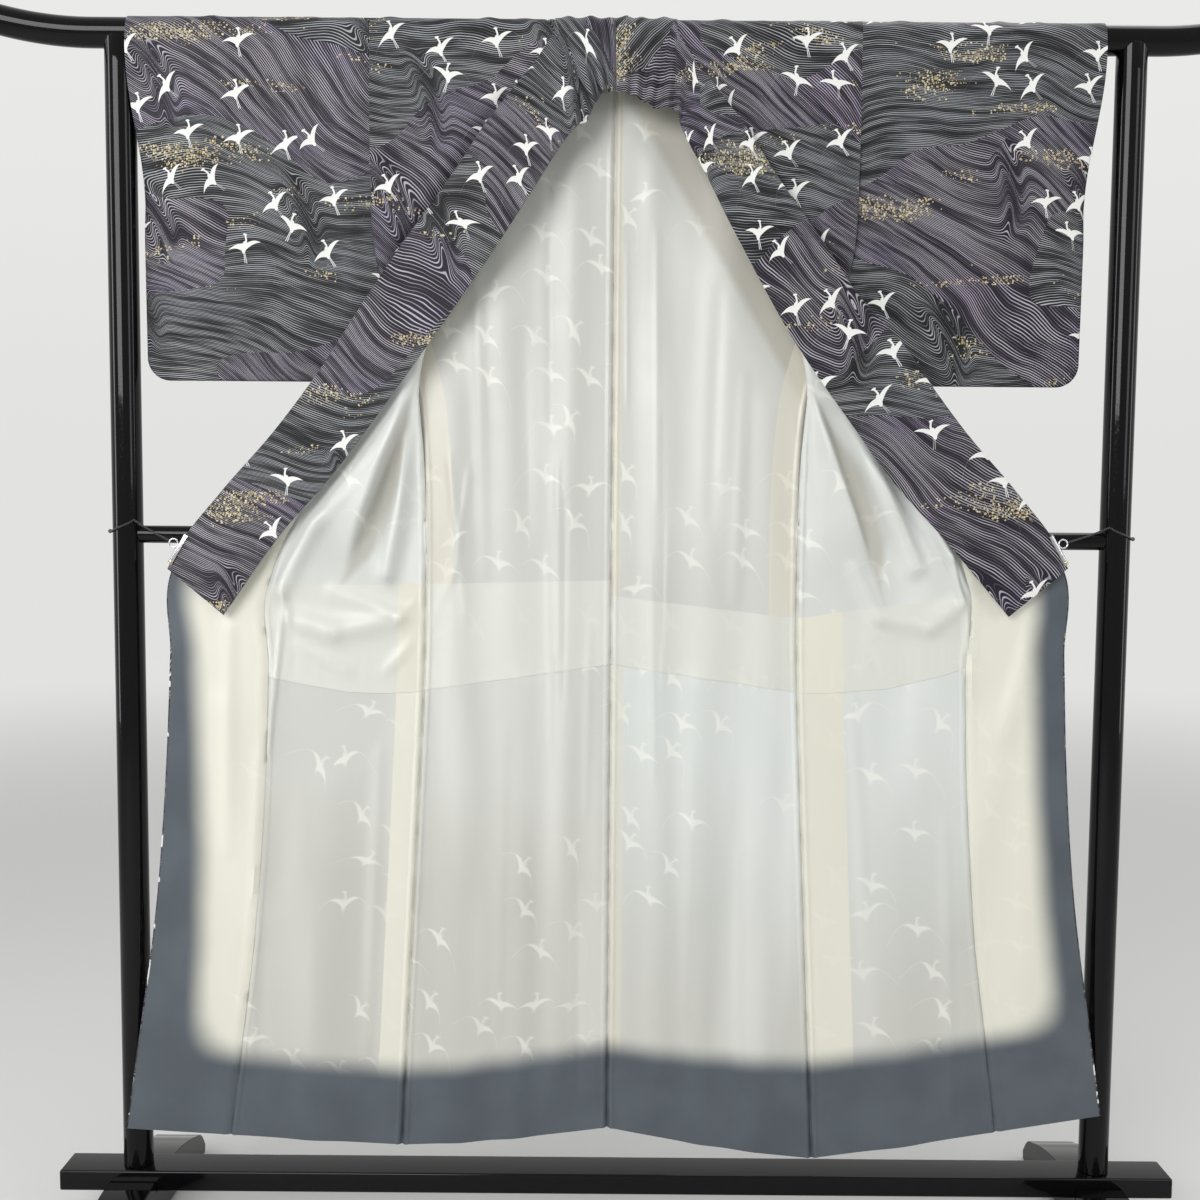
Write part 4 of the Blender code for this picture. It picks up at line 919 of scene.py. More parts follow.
def flying_cranes():
    """A group that draws small cranes in flight, one to a cell, scattered in flocks.

    Each crane is built of an ellipse for the body, another for the head, a bent stroke
    for the neck, two for the legs, and wings between two parabolas that meet at the tip.
    """
    tree = bpy.data.node_groups.new("flying_cranes", "ShaderNodeTree")
    for name, way, kind in (("Cut", "INPUT", "Vector"), ("Softness", "INPUT", "Float"),
                            ("Bird", "OUTPUT", "Float"), ("Legs", "OUTPUT", "Float")):
        tree.interface.new_socket(name, in_out=way, socket_type="NodeSocket" + kind)
    given = tree.nodes.new("NodeGroupInput").outputs
    cut, softness = given[0], Level(given[1])
    centre, chance = cells(cut, CELLS_PER_METRE, CELL_SCATTER)[:2]
    local = vectors("MULTIPLY", vectors("SUBTRACT", cut, centre), (100.0, 100.0, 100.0))
    # On the far side of the shoulder the cloth hangs the other way up
    upside_down = (parts(centre)[1] > 0.0) * math.pi
    x, y = parts(turned(local, chance[0] * 0.9 - 0.72 + upside_down))[:2]
    x = x * ((chance[1] > 0.8) * -2.0 + 1.0)
    wing_x = abs(x - 0.03)
    beat = chance[2] * -0.50 + 0.22
    tipped = x * (chance[2] * 0.4 - 0.62) + y
    raised = wing_x * beat + tipped
    to_tip = (1.0 - wing_x / WING_REACH).most(0.0)
    leading = wing_x * 0.62 + wing_x ** 2.0 * -0.33 + 0.26
    trailing = leading - to_tip ** 0.95 * WING_ROOT
    wings = (leading - raised).least(raised - trailing).least(to_tip * 0.9)
    body = in_ellipse(x, y, (0.0, -0.15), (0.31, 0.86))
    head = in_ellipse(x, y, (-0.10, NECK_TOP), (0.28, 0.14))
    neck = in_stroke(x, y, (y * 2.3).sine() * 0.17, 0.125, 0.3, NECK_TOP)
    bird = wings.most(body).most(head.most(neck))
    near_leg = in_stroke(x, y, y * -0.26 - 0.16, 0.05, LEG_END, -0.7)
    legs = near_leg.most(in_stroke(x, y, y * -0.36 - 0.12, 0.05, LEG_END, -0.7))
    kept = chance[2] * 0.12 + flat_noise(centre, 3.1, 1.0) > 0.50
    legs_white = (chance[0] > 0.45) * 0.6 + 0.4
    bird, legs = [between(drawn, softness * -1.0, softness) * kept for drawn in (bird, legs)]
    feed(tree.nodes.new("NodeGroupOutput"), {0: bird, 1: legs * legs_white})
    return tree


# The wave ground: the distance between two lines, how steeply the two sheets of current
# fall to the right, and the folds in which the lines turn back: how many lie in a metre,
# how wide one is, how far it throws the lines, and its half length in metres
LINE_STEP = 0.0025
SHEET_FALL = (0.15, 0.62)
FOLDS_PER_METRE = 5.4
FOLD_SCATTER = 0.8
FOLD_WIDTH = 0.0115
FOLD_THROW = 0.052
FOLD_HALF = 0.066
FLECKS_PER_METRE = 310.0


def wave_lines(cut):
    """Fine lines that run in currents, as the contour lines of a height.

    The height rises evenly in two sheets that fall to the right at their own slopes, bent
    by a slow noise. In some cells of a Voronoi pattern a long narrow fold throws it by
    t exp(-t squared), with t the distance across the fold, so that the lines turn back
    twice and make two rows of nested arcs. Streaks along the lines make some of them
    brighter. Returns the lines, which sheet, and a slow number.
    """
    swirl = flat_noise(cut, 3.2, 1.5, "Color").socket
    swirl = vectors("SUBTRACT", swirl, (0.5, 0.5, 0.5))
    bent = vectors("MULTIPLY_ADD", swirl, (0.14, 0.15, 0.0), cut)
    ahead, over = parts(bent)[:2]
    slow = flat_noise(vectors("MULTIPLY", bent, (2.6, 6.0, 1.0)), 1.0, 0.5)
    sheet = slow > 0.5
    rises = [ahead * math.sin(fall) + over * math.cos(fall) for fall in SHEET_FALL]
    height = mix(*rises, sheet)
    centre, chance = cells(cut, FOLDS_PER_METRE, FOLD_SCATTER)[:2]
    x, y = parts(turned(vectors("SUBTRACT", cut, centre), chance[0] * 0.40 + 0.98))[:2]
    across = (x ** 2.0 * 2.6 + y) / FOLD_WIDTH
    bell = (across ** 2.0 * -1.0).exponent()
    reach = between(abs(x), 0.35 * FOLD_HALF, 1.2 * FOLD_HALF, FOLD_THROW, 0.0)
    strength = (chance[1] > 0.36) * reach
    height = height + across * bell * strength + flat_noise(cut, 30.0, 1.0) * 0.0022
    wave = (height * (2.0 * math.pi / LINE_STEP)).sine()
    brush = node(cut.id_data, "CombineXYZ", {0: height * 130.0, 1: ahead * 9.0}).outputs[0]
    streak = flat_noise(brush, 1.0, 3.0)
    in_fold = bell * strength * 8.0
    lines = between((streak - 0.5) * 1.9 + wave - in_fold, 0.38, 1.05)
    return lines * (between(streak, 0.30, 0.66, 0.45, 1.10) + in_fold), sheet, slow


def gold_flecks(cut):
    """Small gold and cream flecks in loose bands that follow the currents."""
    band = flat_noise(vectors("MULTIPLY", cut, (5.0, 17.0, 1.0)), 1.0, 2.0)
    chance, distance = cells(cut, FLECKS_PER_METRE)[1:]
    fleck = distance < chance[0] * 0.42 + 0.14
    return fleck * (band * 5.2 + chance[1] * -0.75 > 3.12), chance[2]


def silk_weave(cut, threads, strength, distance):
    """A fine plain weave as bump: crossed sines of the flat cloth, with a slow noise."""
    weft, warp = parts(vectors("MULTIPLY", cut, (threads, threads, 0.0)))[:2]
    height = flat_noise(cut, 55.0, 4.0) * 2.0 + weft.sine() * warp.sine()
    return bump(height, strength, distance)


def cranes_on(cut, softness):
    """The cranes and their legs, where they lie on the cloth."""
    sockets = {0: cut, 1: softness}
    cranes = feed(node(cut.id_data, "Group", node_tree=crane_chart), sockets)
    return [Level(out) for out in cranes.outputs]


crane_chart = flying_cranes()
# What the lining's finish reads at each point: metres inside the dyed border, a cream
# seam turning, a faint turning, the doubled band and the painted shade along the neck
# opening and beside each sharp fold, less than 0 outside, and a tone that is cool at 0 and warm at
# 1
MARKS = ("slate", "strip", "turning", "double", "backed", "tone")


def unmarked(points):
    """Marks of an outer piece, whose inner face lies outside all of them."""
    return {mark: np.full(points.shape[:2], -1.0) for mark in MARKS}


def komon_silk():
    """Dark purple-black silk: pale wave lines, gold flecks and white cranes over them."""
    finish, tree, shader = new_finish("komon_silk", (0.070, 0.066, 0.085), 0.60)
    cut = node(tree, "UVMap", uv_map="cut").outputs[0]
    lines, tint, ground = wave_lines(cut)
    slow = flat_noise(cut, 9.0, 2.0)
    dark = blend(tint, (0.0060, 0.0058, 0.0075), (0.0095, 0.0066, 0.0140))
    pale = blend(tint, (0.330, 0.350, 0.375), (0.355, 0.320, 0.425))
    pale = blend(between(slow + ground, 0.85, 1.15, 0.0, 0.8), pale, (0.40, 0.40, 0.42))
    flecks, metal = gold_flecks(cut)
    gold = blend(metal, (0.26, 0.20, 0.10), (0.60, 0.54, 0.36))
    birds, legs = cranes_on(cut, 0.02)
    colour = blend(flecks, blend(lines, dark, pale), gold)
    colour = blend(legs, colour, (0.66, 0.66, 0.66))
    feed(shader, {
        "Base Color": blend(birds, colour, (0.73, 0.73, 0.71)),
        "Roughness": between(slow, 0.2, 0.8, 0.52, 0.68),
        "Normal": silk_weave(cut, 5200.0, 0.25, 0.00012),
        "Sheen Weight": 0.05,
        "Sheen Roughness": 0.35,
        "Specular IOR Level": 0.26,
    })
    return finish


def lining_silk():
    """Thin white lining silk: grey where the dark cloth shows through it with its cranes
    as pale blurs, brighter where it is doubled, cream over seam turnings, with painted
    shade along the neck opening and beside each sharp fold, and dyed slate blue in a soft
    edge towards the hem and the front edges."""
    finish, tree, shader = new_finish("lining_silk", (0.6, 0.61, 0.6), 0.36)
    cut = node(tree, "UVMap", uv_map="cut").outputs[0]
    slate, strip, turning, double, backed, tone = [
        Level(node(tree, "Attribute", attribute_name=name).outputs["Fac"]) for name in MARKS
    ]
    loose = flat_noise(vectors("MULTIPLY", cut, (9.0, 1.3, 1.0)), 1.0, 2.0)
    uneven = flat_noise(cut, 11.0, 3.0)
    close = blend(tone, (0.685, 0.735, 0.73), (0.500, 0.495, 0.455))
    airy = blend(tone, (0.83, 0.88, 0.89), (0.62, 0.615, 0.575))
    cream = blend(tone, (0.600, 0.580, 0.475), (0.71, 0.70, 0.605))
    blue = blend(between(uneven, 0.3, 0.7), (0.068, 0.082, 0.098), (0.082, 0.098, 0.116))
    birds = cranes_on(cut, 0.20)[0]
    colour = blend(between(loose, 0.40, 0.80, 0.0, 0.8), close, airy)
    # What lies over or behind the plain silk, in turn: how much of it shows, and its colour
    for share, shown in (
        (birds * between(loose, 0.75, 0.40, 0.24, 0.55), (0.80, 0.80, 0.74)),
        # Painted shade: brown-grey along the neck opening's edge and beside each sharp fold
        (between(backed, -0.006, 0.010) * 0.52, (0.335, 0.300, 0.235)),
        (between(turning, -0.0009, 0.0009) * 0.50, (0.66, 0.62, 0.51)),
        (between(double, -0.0010, 0.0010) * 0.85, (0.625, 0.635, 0.585)),
        (between(strip, -0.0009, 0.0009) * 0.85, cream),
        (between(uneven * 0.006 + slate, -0.018, 0.024), blue),
    ):
        colour = blend(share, colour, shown)
    feed(shader, {
        "Base Color": colour,
        "Roughness": between(uneven, 0.25, 0.75, 0.30, 0.44),
        "Normal": silk_weave(cut, 7000.0, 0.12, 0.00010),
        "Sheen Weight": 0.10,
        "Sheen Roughness": 0.4,
        "Specular IOR Level": 0.45,
    })
    return finish


komon = komon_silk()
lining = lining_silk()
OUTER = (GAP + SILK, GAP)

# The back's cloth reaches the collar's seam behind the rail: at the centre and at the neck
NECK_CUT_BACK = QUARTER * 0.4
NECK_CUT_SIDE = QUARTER * 0.2
# Where rows have to lie, by their drop, and how far apart they are in each stretch
BACK_MARKS = (0.036, BACK_LINING_TOP, WAIST_SEAM, BODY_LENGTH)
BACK_STEPS = (ROW_STEP, ROW_STEP, ROW_STEP)
FRONT_MARKS = (0.036, 0.15, OKUMI_TOP, FRONT_LINING_TOP, OKUMI_LINING_TOP, COLLAR_END,
               WAIST_SEAM, BODY_LENGTH)
FRONT_STEPS = (0.005, ROW_STEP, ROW_STEP, ROW_STEP, FINE_STEP, FINE_STEP, ROW_STEP)
# How far below its even line the waist seam lies: at the centre, the side seam, half way
# over the front and at the overlap's seam
SAG_SPREAD = 0.08
Sag = namedtuple("Sag", "centre side_seam mid_front overlap")
SAGS = {-1: Sag(-0.020, 0.019, 0.037, 0.031), 1: Sag(-0.020, 0.018, 0.032, 0.016)}


def sagging(rows, sags):
    """Drops of rows that sag near the waist seam, under a bell curve round it."""
    rows = rows[:, None]
    return rows + sags * bell(rows - WAIST_SEAM, SAG_SPREAD)


# Cloth as it is laid: its grid, and for each point its place on the flat cloth, its drop,
# and its distances from the side seam and from the other edge
Laid = namedtuple("Laid", "points normal cut drop from_side from_edge rows")
laid_backs = {}
laid_fronts = {}
for side in SIDES:
    sag = SAGS[side.sign]
    columns = crowded(BODY_COLUMNS)[None, :]
    back_rows = rows_between(BACK_MARKS, BACK_STEPS)[::-1]
    back_drops = sagging(back_rows, mix(sag.side_seam, sag.centre, columns))
    start = GAP / side_edge(back_drops)
    back = back_points(back_drops, start + columns * (1.0 - 2.0 * start), side)
    arc = np.linspace(QUARTER, -QUARTER, ROUND_RAIL + 1)[:, None]
    neck = NECK_HALF * np.clip((NECK_CUT_BACK - arc) / (NECK_CUT_BACK - NECK_CUT_SIDE), 0.0, 1.0)
    arc_out = SHOULDER_WIDTH - GAP - columns * (SHOULDER_WIDTH - neck - 2.0 * GAP)
    arc_height, arc_depth = over_rail(-arc, ripple(arc_out, side))
    upper = np.concatenate([back, points_at(arc_out, arc_depth, arc_height)])
    upper_drop = np.concatenate([back_drops, arc + 0.0 * columns])
    count = len(upper)
    front_rows = rows_between(FRONT_MARKS, FRONT_STEPS)
    over_front = np.interp(np.linspace(0.0, 1.0, BODY_COLUMNS), (0.0, 0.5, 1.0),
                           (sag.side_seam, sag.mid_front, sag.overlap))
    over_panel = np.full(OKUMI_COLUMNS - 1, sag.overlap)
    front_drops = sagging(front_rows, np.concatenate([over_front, over_panel]))
    row_end = front_length(front_drops)
    panel_seam = row_end - okumi_width(front_drops)
    body = np.s_[:, :BODY_COLUMNS]
    beyond = np.s_[:, BODY_COLUMNS:]
    panel = np.linspace(0.0, 1.0, OKUMI_COLUMNS)[None, 1:]
    along = np.concatenate([
        row_lengths(front_drops[body], columns, GAP, panel_seam[body]),
        mix(panel_seam[beyond], row_end[beyond] - GAP, panel),
    ], axis=1)
    wide = front_points(front_drops, along, side)
    points = np.concatenate([upper, wide[body]])
    normal = normals(points)
    first_panel = row_at(front_rows, OKUMI_TOP)
    wide_normal = np.zeros_like(wide)
    wide_normal[:, :BODY_COLUMNS] = normal[count:]
    wide_normal[first_panel:] = normals(wide[first_panel:])
    normal[count:] = wide_normal[body]
    from_side = np.concatenate([SHOULDER_WIDTH - upper[..., 0], along[body]])
    drop = np.concatenate([upper_drop, -front_drops[body]])
    cut = points_at(from_side * -side.sign + side.pattern, drop)
    points[count:] = drawn_in(points[count:], (0.0, 0.0, 0.0, GAP))
    add_cloth("komon_body_", points, normal, side, OUTER, cut, (komon, lining), "body_",
              marks=unmarked(points))
    from_seam = from_side[:count] - (SHOULDER_WIDTH - side_edge(upper_drop))
    laid_backs[side.name] = Laid(points[:count], normal[:count], cut[:count], drop[:count],
                                 from_seam, points[:count, :, 0],
                                 np.concatenate([back_rows, arc[:, 0]]))
    wide[body] = points[count:]
    front_cut = points_at(along * -side.sign + side.pattern, -front_drops)
    laid_fronts[side.name] = Laid(wide, wide_normal, front_cut, front_drops, along,
                                  row_end - along, front_rows)

# The overlap panels: a long tapered panel of the same silk sewn to each front's edge.
# It comes to a point under the collar and is square at the hem.
PANEL_PLACE = (0.9, -0.013)
for side in SIDES:
    laid = laid_fronts[side.name]
    part = np.s_[row_at(laid.rows, OKUMI_TOP):, BODY_COLUMNS - 1:]
    points = drawn_in(laid.points[part], (0.0, 0.0, SEAM_GAP, 0.0))
    cut = laid.cut[part] + (side.sign * PANEL_PLACE[0], PANEL_PLACE[1])
    add_cloth("komon_overlap_", points, laid.normal[part], side, OUTER, cut, (komon,),
              "okumi_")

# The lining: thin white silk in an upper and a lower length, sewn together at the waist
# with the upper one doubled below the seam line's turning, and dyed towards the hem.
LINING = 0.0005
INSIDE = (-GAP, -GAP - LINING)
# How far the overlap's lining lets the outer silk peek out at the front edge, and how
# round the dye turns from the hem into the front edge
EDGE_PEEK = 0.0022
CORNER_ROUND = 0.026
CENTRE_TURNING = 0.013
# The neck opening's edge
Line = namedtuple("Line", "from_out from_height to_out to_height")
NECK_LINE = Line(0.080, 1.580, 0.250, 1.290)
# Beside each sharp fold the lining gets a painted shadow, over this width
FOLD_SHADOW_WIDTH = 0.030
# In metres: the dyed border at the hem's centre, side seam and front edge, and up the
# front edge at its top and low down, the doubled band's upper line at the centre and at
# the side seam, and how far it falls over the front, the turnings' width of the front and
# of the back, and how far in from the neck opening's edge the painted shade reaches. Then
# how warm the lower lining looks, where the dark cloth hangs close behind it
Lined = namedtuple("Lined", "hem_centre hem_side hem_front edge_top edge_low band_centre"
                            " band_side band_fall front_turning back_turning backed warmed")
LINED = {
    -1: Lined(0.126, 0.113, 0.122, 0.026, 0.076, 0.790, 0.797, 0.050, 0.040, 0.039, 0.004, 0.80),
    1: Lined(0.126, 0.143, 0.139, 0.045, 0.042, 0.812, 0.842, 0.006, 0.059, 0.041, 0.030, 0.50),
}


def lower_tone(warmed, drop):
    """The lower lining's tone, which grows warmer towards the hem."""
    return warmed + 0.4 * smooth((drop - 1.0) / 0.45)


for side in SIDES:
    lined = LINED[side.sign]
    back = laid_backs[side.name]
    front_part = laid_fronts[side.name]
    width = np.clip(1.0 - back.from_side / side_edge(np.abs(back.drop)), 0.0, 1.0)
    hem_width = mix(lined.hem_centre, lined.hem_side, width)
    back_slate = hem_width - (BODY_LENGTH - back.drop)
    back_double = back.drop - mix(lined.band_centre, lined.band_side, width)
    centre_strip = side.sign * (CENTRE_TURNING - back.from_edge) - (side.sign < 0)
    back_faint = np.maximum(lined.back_turning - back.from_side, centre_strip)
    across = np.clip(front_part.from_side / 0.40, 0.0, 1.0)
    hem_width = mix(lined.hem_side, lined.hem_front, across)
    down = np.clip((front_part.drop - COLLAR_END) / 0.6, 0.0, 1.2)
    edge_width = mix(lined.edge_top, lined.edge_low, down)
    at_hem = hem_width - (BODY_LENGTH - front_part.drop)
    at_edge = edge_width - front_part.from_edge
    front_slate = CORNER_ROUND * np.logaddexp(at_hem / CORNER_ROUND, at_edge / CORNER_ROUND)
    front_double = front_part.drop - (lined.band_side + lined.band_fall * across)
    front_strip = lined.front_turning - front_part.from_side
    shown_upper = np.minimum(front_strip, front_part.drop - lined.band_side)
    # Painted shade on the upper lining: a band in from the neck opening's edge, and a painted
    # shadow beside each sharp fold
    from_neck = beside_line(NECK_LINE, back.points[..., 0], back.points[..., 2])[1]
    high_side, part = beside_step(STEPS[side.sign], front_part.points[..., 0],
                                  front_part.points[..., 2])
    fold_shadow_width = FOLD_SHADOW_WIDTH * smooth((part - 0.05) / 0.5) * smooth((1.12 - part) / 0.3)
    painted_fold_shadow = np.minimum(-high_side + 0.001, fold_shadow_width + high_side)
    waist = row_at(back.rows, WAIST_SEAM)
    top = row_at(back.rows, BACK_LINING_TOP)
    front_top, okumi_top, front_waist = [
        row_at(front_part.rows, drop) for drop in (FRONT_LINING_TOP, OKUMI_LINING_TOP, WAIST_SEAM)
    ]
    body_part = slice(0, BODY_COLUMNS)
    # Each stretch's rows and columns, its slot and its marks in the order of MARKS
    stretches = (
        ("back_upper_", back, slice(waist, top + 1), body_part, "upper_lining",
         (back_slate, -1.0, back_faint, back_double, lined.backed - from_neck, 0.85)),
        ("back_lower_", back, slice(0, waist + 1), body_part, "lower_lining",
         (back_slate, -1.0, centre_strip + 0.006, -1.0, -1.0,
          lower_tone(lined.warmed, back.drop))),
        ("front_upper_", front_part, slice(front_top, front_waist + 1), body_part,
         "upper_lining", (front_slate, shown_upper, -1.0, front_double, painted_fold_shadow, 0.6)),
        ("front_lower_", front_part, slice(front_waist, None), body_part, "lower_lining",
         (front_slate, front_strip, -1.0, -1.0, -1.0,
          lower_tone(lined.warmed, front_part.drop))),
        ("okumi_", front_part, slice(okumi_top, None), slice(BODY_COLUMNS - 1, None),
         "lower_lining", (front_slate, 1.0, -1.0, -1.0, -1.0, 1.0)),
    )
    for name, laid, rows, columns, slot, values in stretches:
        part = (rows, columns)
        at_seams = (SEAM_GAP, EDGE_PEEK) if name == "okumi_" else (0.0, 0.0)
        points = drawn_in(laid.points[part], (GAP, GAP, *at_seams))
        marks = {mark: (value + 0.0 * laid.drop)[part] for mark, value in zip(MARKS, values)}
        add_cloth("white_lining_" + name, points, laid.normal[part], side, INSIDE,
                  laid.cut[part], (lining,), "lining_" + name, marks=marks)

# The sleeves: one length each, folded at the shoulder and hung over the rail, sewn along
# the bottom and up the outer edge to the wrist opening, with a round outer corner.
# Distances out: of the wrist opening's top and low end, of the sewn edge, and of the
# inner edge at the bottom, which stays a little clear of the body's side
WRIST_TOP_OUT = 0.676
WRIST_LOW_OUT = 0.657
SLEEVE_OUT = 0.655
SLEEVE_INNER_LOW = 0.318
INNER_CLEAR = 0.0015
# Heights of the bottom and of the wrist opening's low end, the corner's radius, how far
# the opening's edge bulges, and half the depth of the closed edge
SLEEVE_LOW = 1.233
WRIST_LOW = 1.500
SLEEVE_CORNER = 0.028
WRIST_BULGE = 0.006
SLEEVE_CLOSE = 0.003
# Loops from the opening to the inner edge, more of them round the corner, steps down a
# wall and round the closed edge, and where the sleeve is cut from the printed length
SLEEVE_LOOPS = 46
CORNER_LOOPS = np.linspace(0.4195, 0.4967, 14)
SLEEVE_STEPS = 44
SLEEVE_ROUND = 9
SLEEVE_PLACE = 1.6
SLEEVE_FOLDS = (
    Fold(0, 0.372, 1.690, 0.366, 1.270, 0.016, 0.0040),
    Fold(-1, 0.440, 1.700, 0.470, 1.420, 0.022, 0.0030),
    Fold(-1, 0.560, 1.700, 0.600, 1.460, 0.030, 0.0040),
    Fold(-1, 0.520, 1.420, 0.640, 1.270, 0.026, 0.0026),
    Fold(-1, 0.395, 1.500, 0.400, 1.300, 0.010, -0.0022),
    Fold(1, 0.430, 1.700, 0.450, 1.400, 0.020, 0.0030),
    Fold(1, 0.600, 1.690, 0.560, 1.400, 0.028, 0.0040),
    Fold(1, 0.470, 1.380, 0.620, 1.280, 0.024, 0.0024),
    Fold(1, 0.392, 1.480, 0.396, 1.290, 0.010, -0.0022),
)


def sleeve_seam(part):
    """The closed edge, down the outer edge, round the corner on a circle and along the
    bottom: its place, and its outward direction in the plane of the sleeve."""
    upright = WRIST_LOW - SLEEVE_LOW - SLEEVE_CORNER
    round_length = SLEEVE_CORNER * math.pi / 2
    bottom = SLEEVE_OUT - SLEEVE_CORNER - SHOULDER_WIDTH - GAP
    run = part * (upright + round_length + bottom)
    down = np.clip(run, 0.0, upright)
    angle = np.clip(run - upright, 0.0, round_length) / SLEEVE_CORNER
    inward = np.clip(run - upright - round_length, 0.0, bottom)
    widen = (SLEEVE_OUT - WRIST_LOW_OUT) * (1.0 - down / upright)
    out = SLEEVE_OUT - widen - SLEEVE_CORNER * (1.0 - np.cos(angle)) - inward
    height = WRIST_LOW - down - SLEEVE_CORNER * np.sin(angle)
    return out, height, np.cos(angle), -np.sin(angle)


def sleeve_loops(side):
    """A folded sleeve as loops, from the wrist opening to the open inner edge: over the
    rail to the back, down the back wall, round the closed edge in a half circle and up
    the front wall."""
    part = np.concatenate([np.linspace(0.0, 1.0, SLEEVE_LOOPS), CORNER_LOOPS])
    part = np.unique(part)[:, None]
    top_out = mix(WRIST_TOP_OUT, SHOULDER_WIDTH + GAP, part)
    low_out, low_height, out_way, up_way = sleeve_seam(part)
    arc = np.linspace(QUARTER, -QUARTER, ROUND_RAIL + 1)[None, :]
    arc_height, arc_depth = over_rail(arc, ripple(top_out, side))
    down = np.arange(1, SLEEVE_STEPS)[None, :] / SLEEVE_STEPS
    wall_out = mix(top_out, low_out, down)
    wall_out = wall_out + WRIST_BULGE * 6.75 * down * (1.0 - down) ** 2 * (1.0 - part) ** 2
    wall_height = mix(RAIL_HEIGHT, low_height, down)
    fall = RAIL_HEIGHT + QUARTER - wall_height
    drawn = SHOULDER_WIDTH - np.maximum(side_edge(fall) + INNER_CLEAR, SLEEVE_INNER_LOW)
    wall_out = wall_out - np.clip(drawn, 0.0, None) * part ** 8
    low_out = low_out - (SHOULDER_WIDTH - SLEEVE_INNER_LOW) * part ** 8
    wall_depth = mix(SLEEVE_CLOSE, CLOTH_RADIUS, 1.0 - down ** 1.3)
    free = smooth(down / 0.2) * smooth((1.0 - down) / 0.1) * smooth(part / 0.05)
    free = free * smooth((1.0 - part) / 0.04)
    stand = fold_stand(SLEEVE_FOLDS, side, wall_out, wall_height) * free
    front_depth = -(wall_depth + np.clip(stand, -0.9 * wall_depth, None))
    turn = np.linspace(0.0, math.pi, SLEEVE_ROUND)[None, :]
    swing = SLEEVE_CLOSE * smooth(part / 0.14) * np.sin(turn)
    runs = (
        (top_out, arc_depth, arc_height),
        (wall_out, wall_depth + np.abs(stand) * 0.6, wall_height),
        (low_out + out_way * swing, SLEEVE_CLOSE * np.cos(turn), low_height + up_way * swing),
        (wall_out[:, ::-1], front_depth[:, ::-1], wall_height[:, ::-1]),
    )
    return np.concatenate([points_at(*run) for run in runs], axis=1)


for side in SIDES:
    points = sleeve_loops(side)
    closed = np.concatenate([points, points[:, :1]], axis=1)
    wrapped = np.concatenate([points[:, -1:], closed, points[:, 1:2]], axis=1)
    normal = normals(wrapped)[:, 1:-2]
    steps = np.linalg.norm(np.diff(closed, axis=1), axis=-1)
    length = np.concatenate([np.zeros_like(steps[:, :1]), np.cumsum(steps, axis=1)], axis=1)
    # The cloth is measured from the shoulder line, down the back and down the front
    bottom = length[:, -1:] / 2
    drop = np.where(length > bottom + QUARTER, length - 2.0 * bottom, length) - QUARTER
    cut = points_at(closed[..., 0] * side.sign + side.pattern + SLEEVE_PLACE, drop)
    add_cloth("komon_sleeve_", points, normal, side, OUTER, cut, (komon, lining), "sleeve_",
              loop=True, marks=unmarked(points))

# The collar: a wide band of the same silk from the centre back, sewn round the neck and
# down both fronts, left unfolded. It stands up over the rail at the back in loose pleats
# and turns back over its seam below it.
# The doubled silk's thickness, how far it lies above the body's cloth on the rail, the
# radius at which it turns back over its seam, and its flat width
COLLAR_SILK = 0.0014
BAND = (GAP + COLLAR_SILK, GAP)
COLLAR_LIFT = 0.0009
TURN_RADIUS = 0.0035
COLLAR_WIDTH = 0.110
# Its seam: the drop at the centre back and at the neck's side, the length of seam up to
# where it leaves the rail in front, and how much longer it is than its drop below that
NECKLINE_DROP = -0.0130
NECK_SIDE_DROP = -0.0065
NECK_TURN = NECK_HALF + QUARTER - NECK_SIDE_DROP
SEAM_STRETCH = 1.1456
# The share of the width that turns back, and the columns of the turn and of the band
TURN_SHARE = 0.105
TURN_COLUMNS = 9
BAND_COLUMNS = 24
# By the length along the seam: the free edge's place on the left and on the right half,
# its depth, and how far the band is turned back
CollarRow = namedtuple("CollarRow", "along left_out left_height right_out right_height depth turn")
COLLAR = (
    CollarRow(0.000, 0.000, 1.627, 0.000, 1.627, -0.0250, 0.0),
    CollarRow(0.040, 0.020, 1.619, 0.030, 1.616, -0.0270, 0.0),
    CollarRow(0.085, 0.033, 1.597, 0.053, 1.602, -0.0310, 0.0),
    CollarRow(0.124, 0.041, 1.581, 0.082, 1.599, -0.0340, 0.0),
    CollarRow(0.160, 0.058, 1.570, 0.088, 1.580, -0.0380, 0.1),
    CollarRow(0.201, 0.076, 1.545, 0.096, 1.560, -0.0430, 0.7),
    CollarRow(0.270, 0.102, 1.504, 0.122, 1.514, -0.0450, 1.0),
    CollarRow(0.385, 0.157, 1.418, 0.166, 1.430, -0.0460, 1.0),
    CollarRow(0.545, 0.247, 1.289, 0.247, 1.289, -0.0460, 1.0),
    CollarRow(0.694, 0.335, 1.168, 0.334, 1.167, -0.0450, 1.0),
    CollarRow(0.786, 0.390, 1.096, 0.389, 1.095, -0.0440, 1.0),
    CollarRow(0.900, 0.465, 1.010, 0.467, 1.010, -0.0430, 1.0),
    CollarRow(1.026, 0.543, 0.900, 0.557, 0.906, -0.0420, 1.0),
)
Pleat = namedtuple("Pleat", "side along spread stand")
PLEATS = (
    Pleat(0, 0.036, 0.0075, 0.0120),
    Pleat(0, 0.070, 0.0080, 0.0140),
    Pleat(0, 0.105, 0.0090, 0.0090),
    Pleat(0, 0.140, 0.0110, 0.0100),
    Pleat(-1, 0.009, 0.0060, 0.0080),
    Pleat(1, 0.016, 0.0060, 0.0110),
)
# How far the waves in the band below the neck stand
BAND_WAVE = 0.0016
# Where on the printed length each half of the band is cut
BAND_PLACE = {-1: 8.07, 1: 12.75}


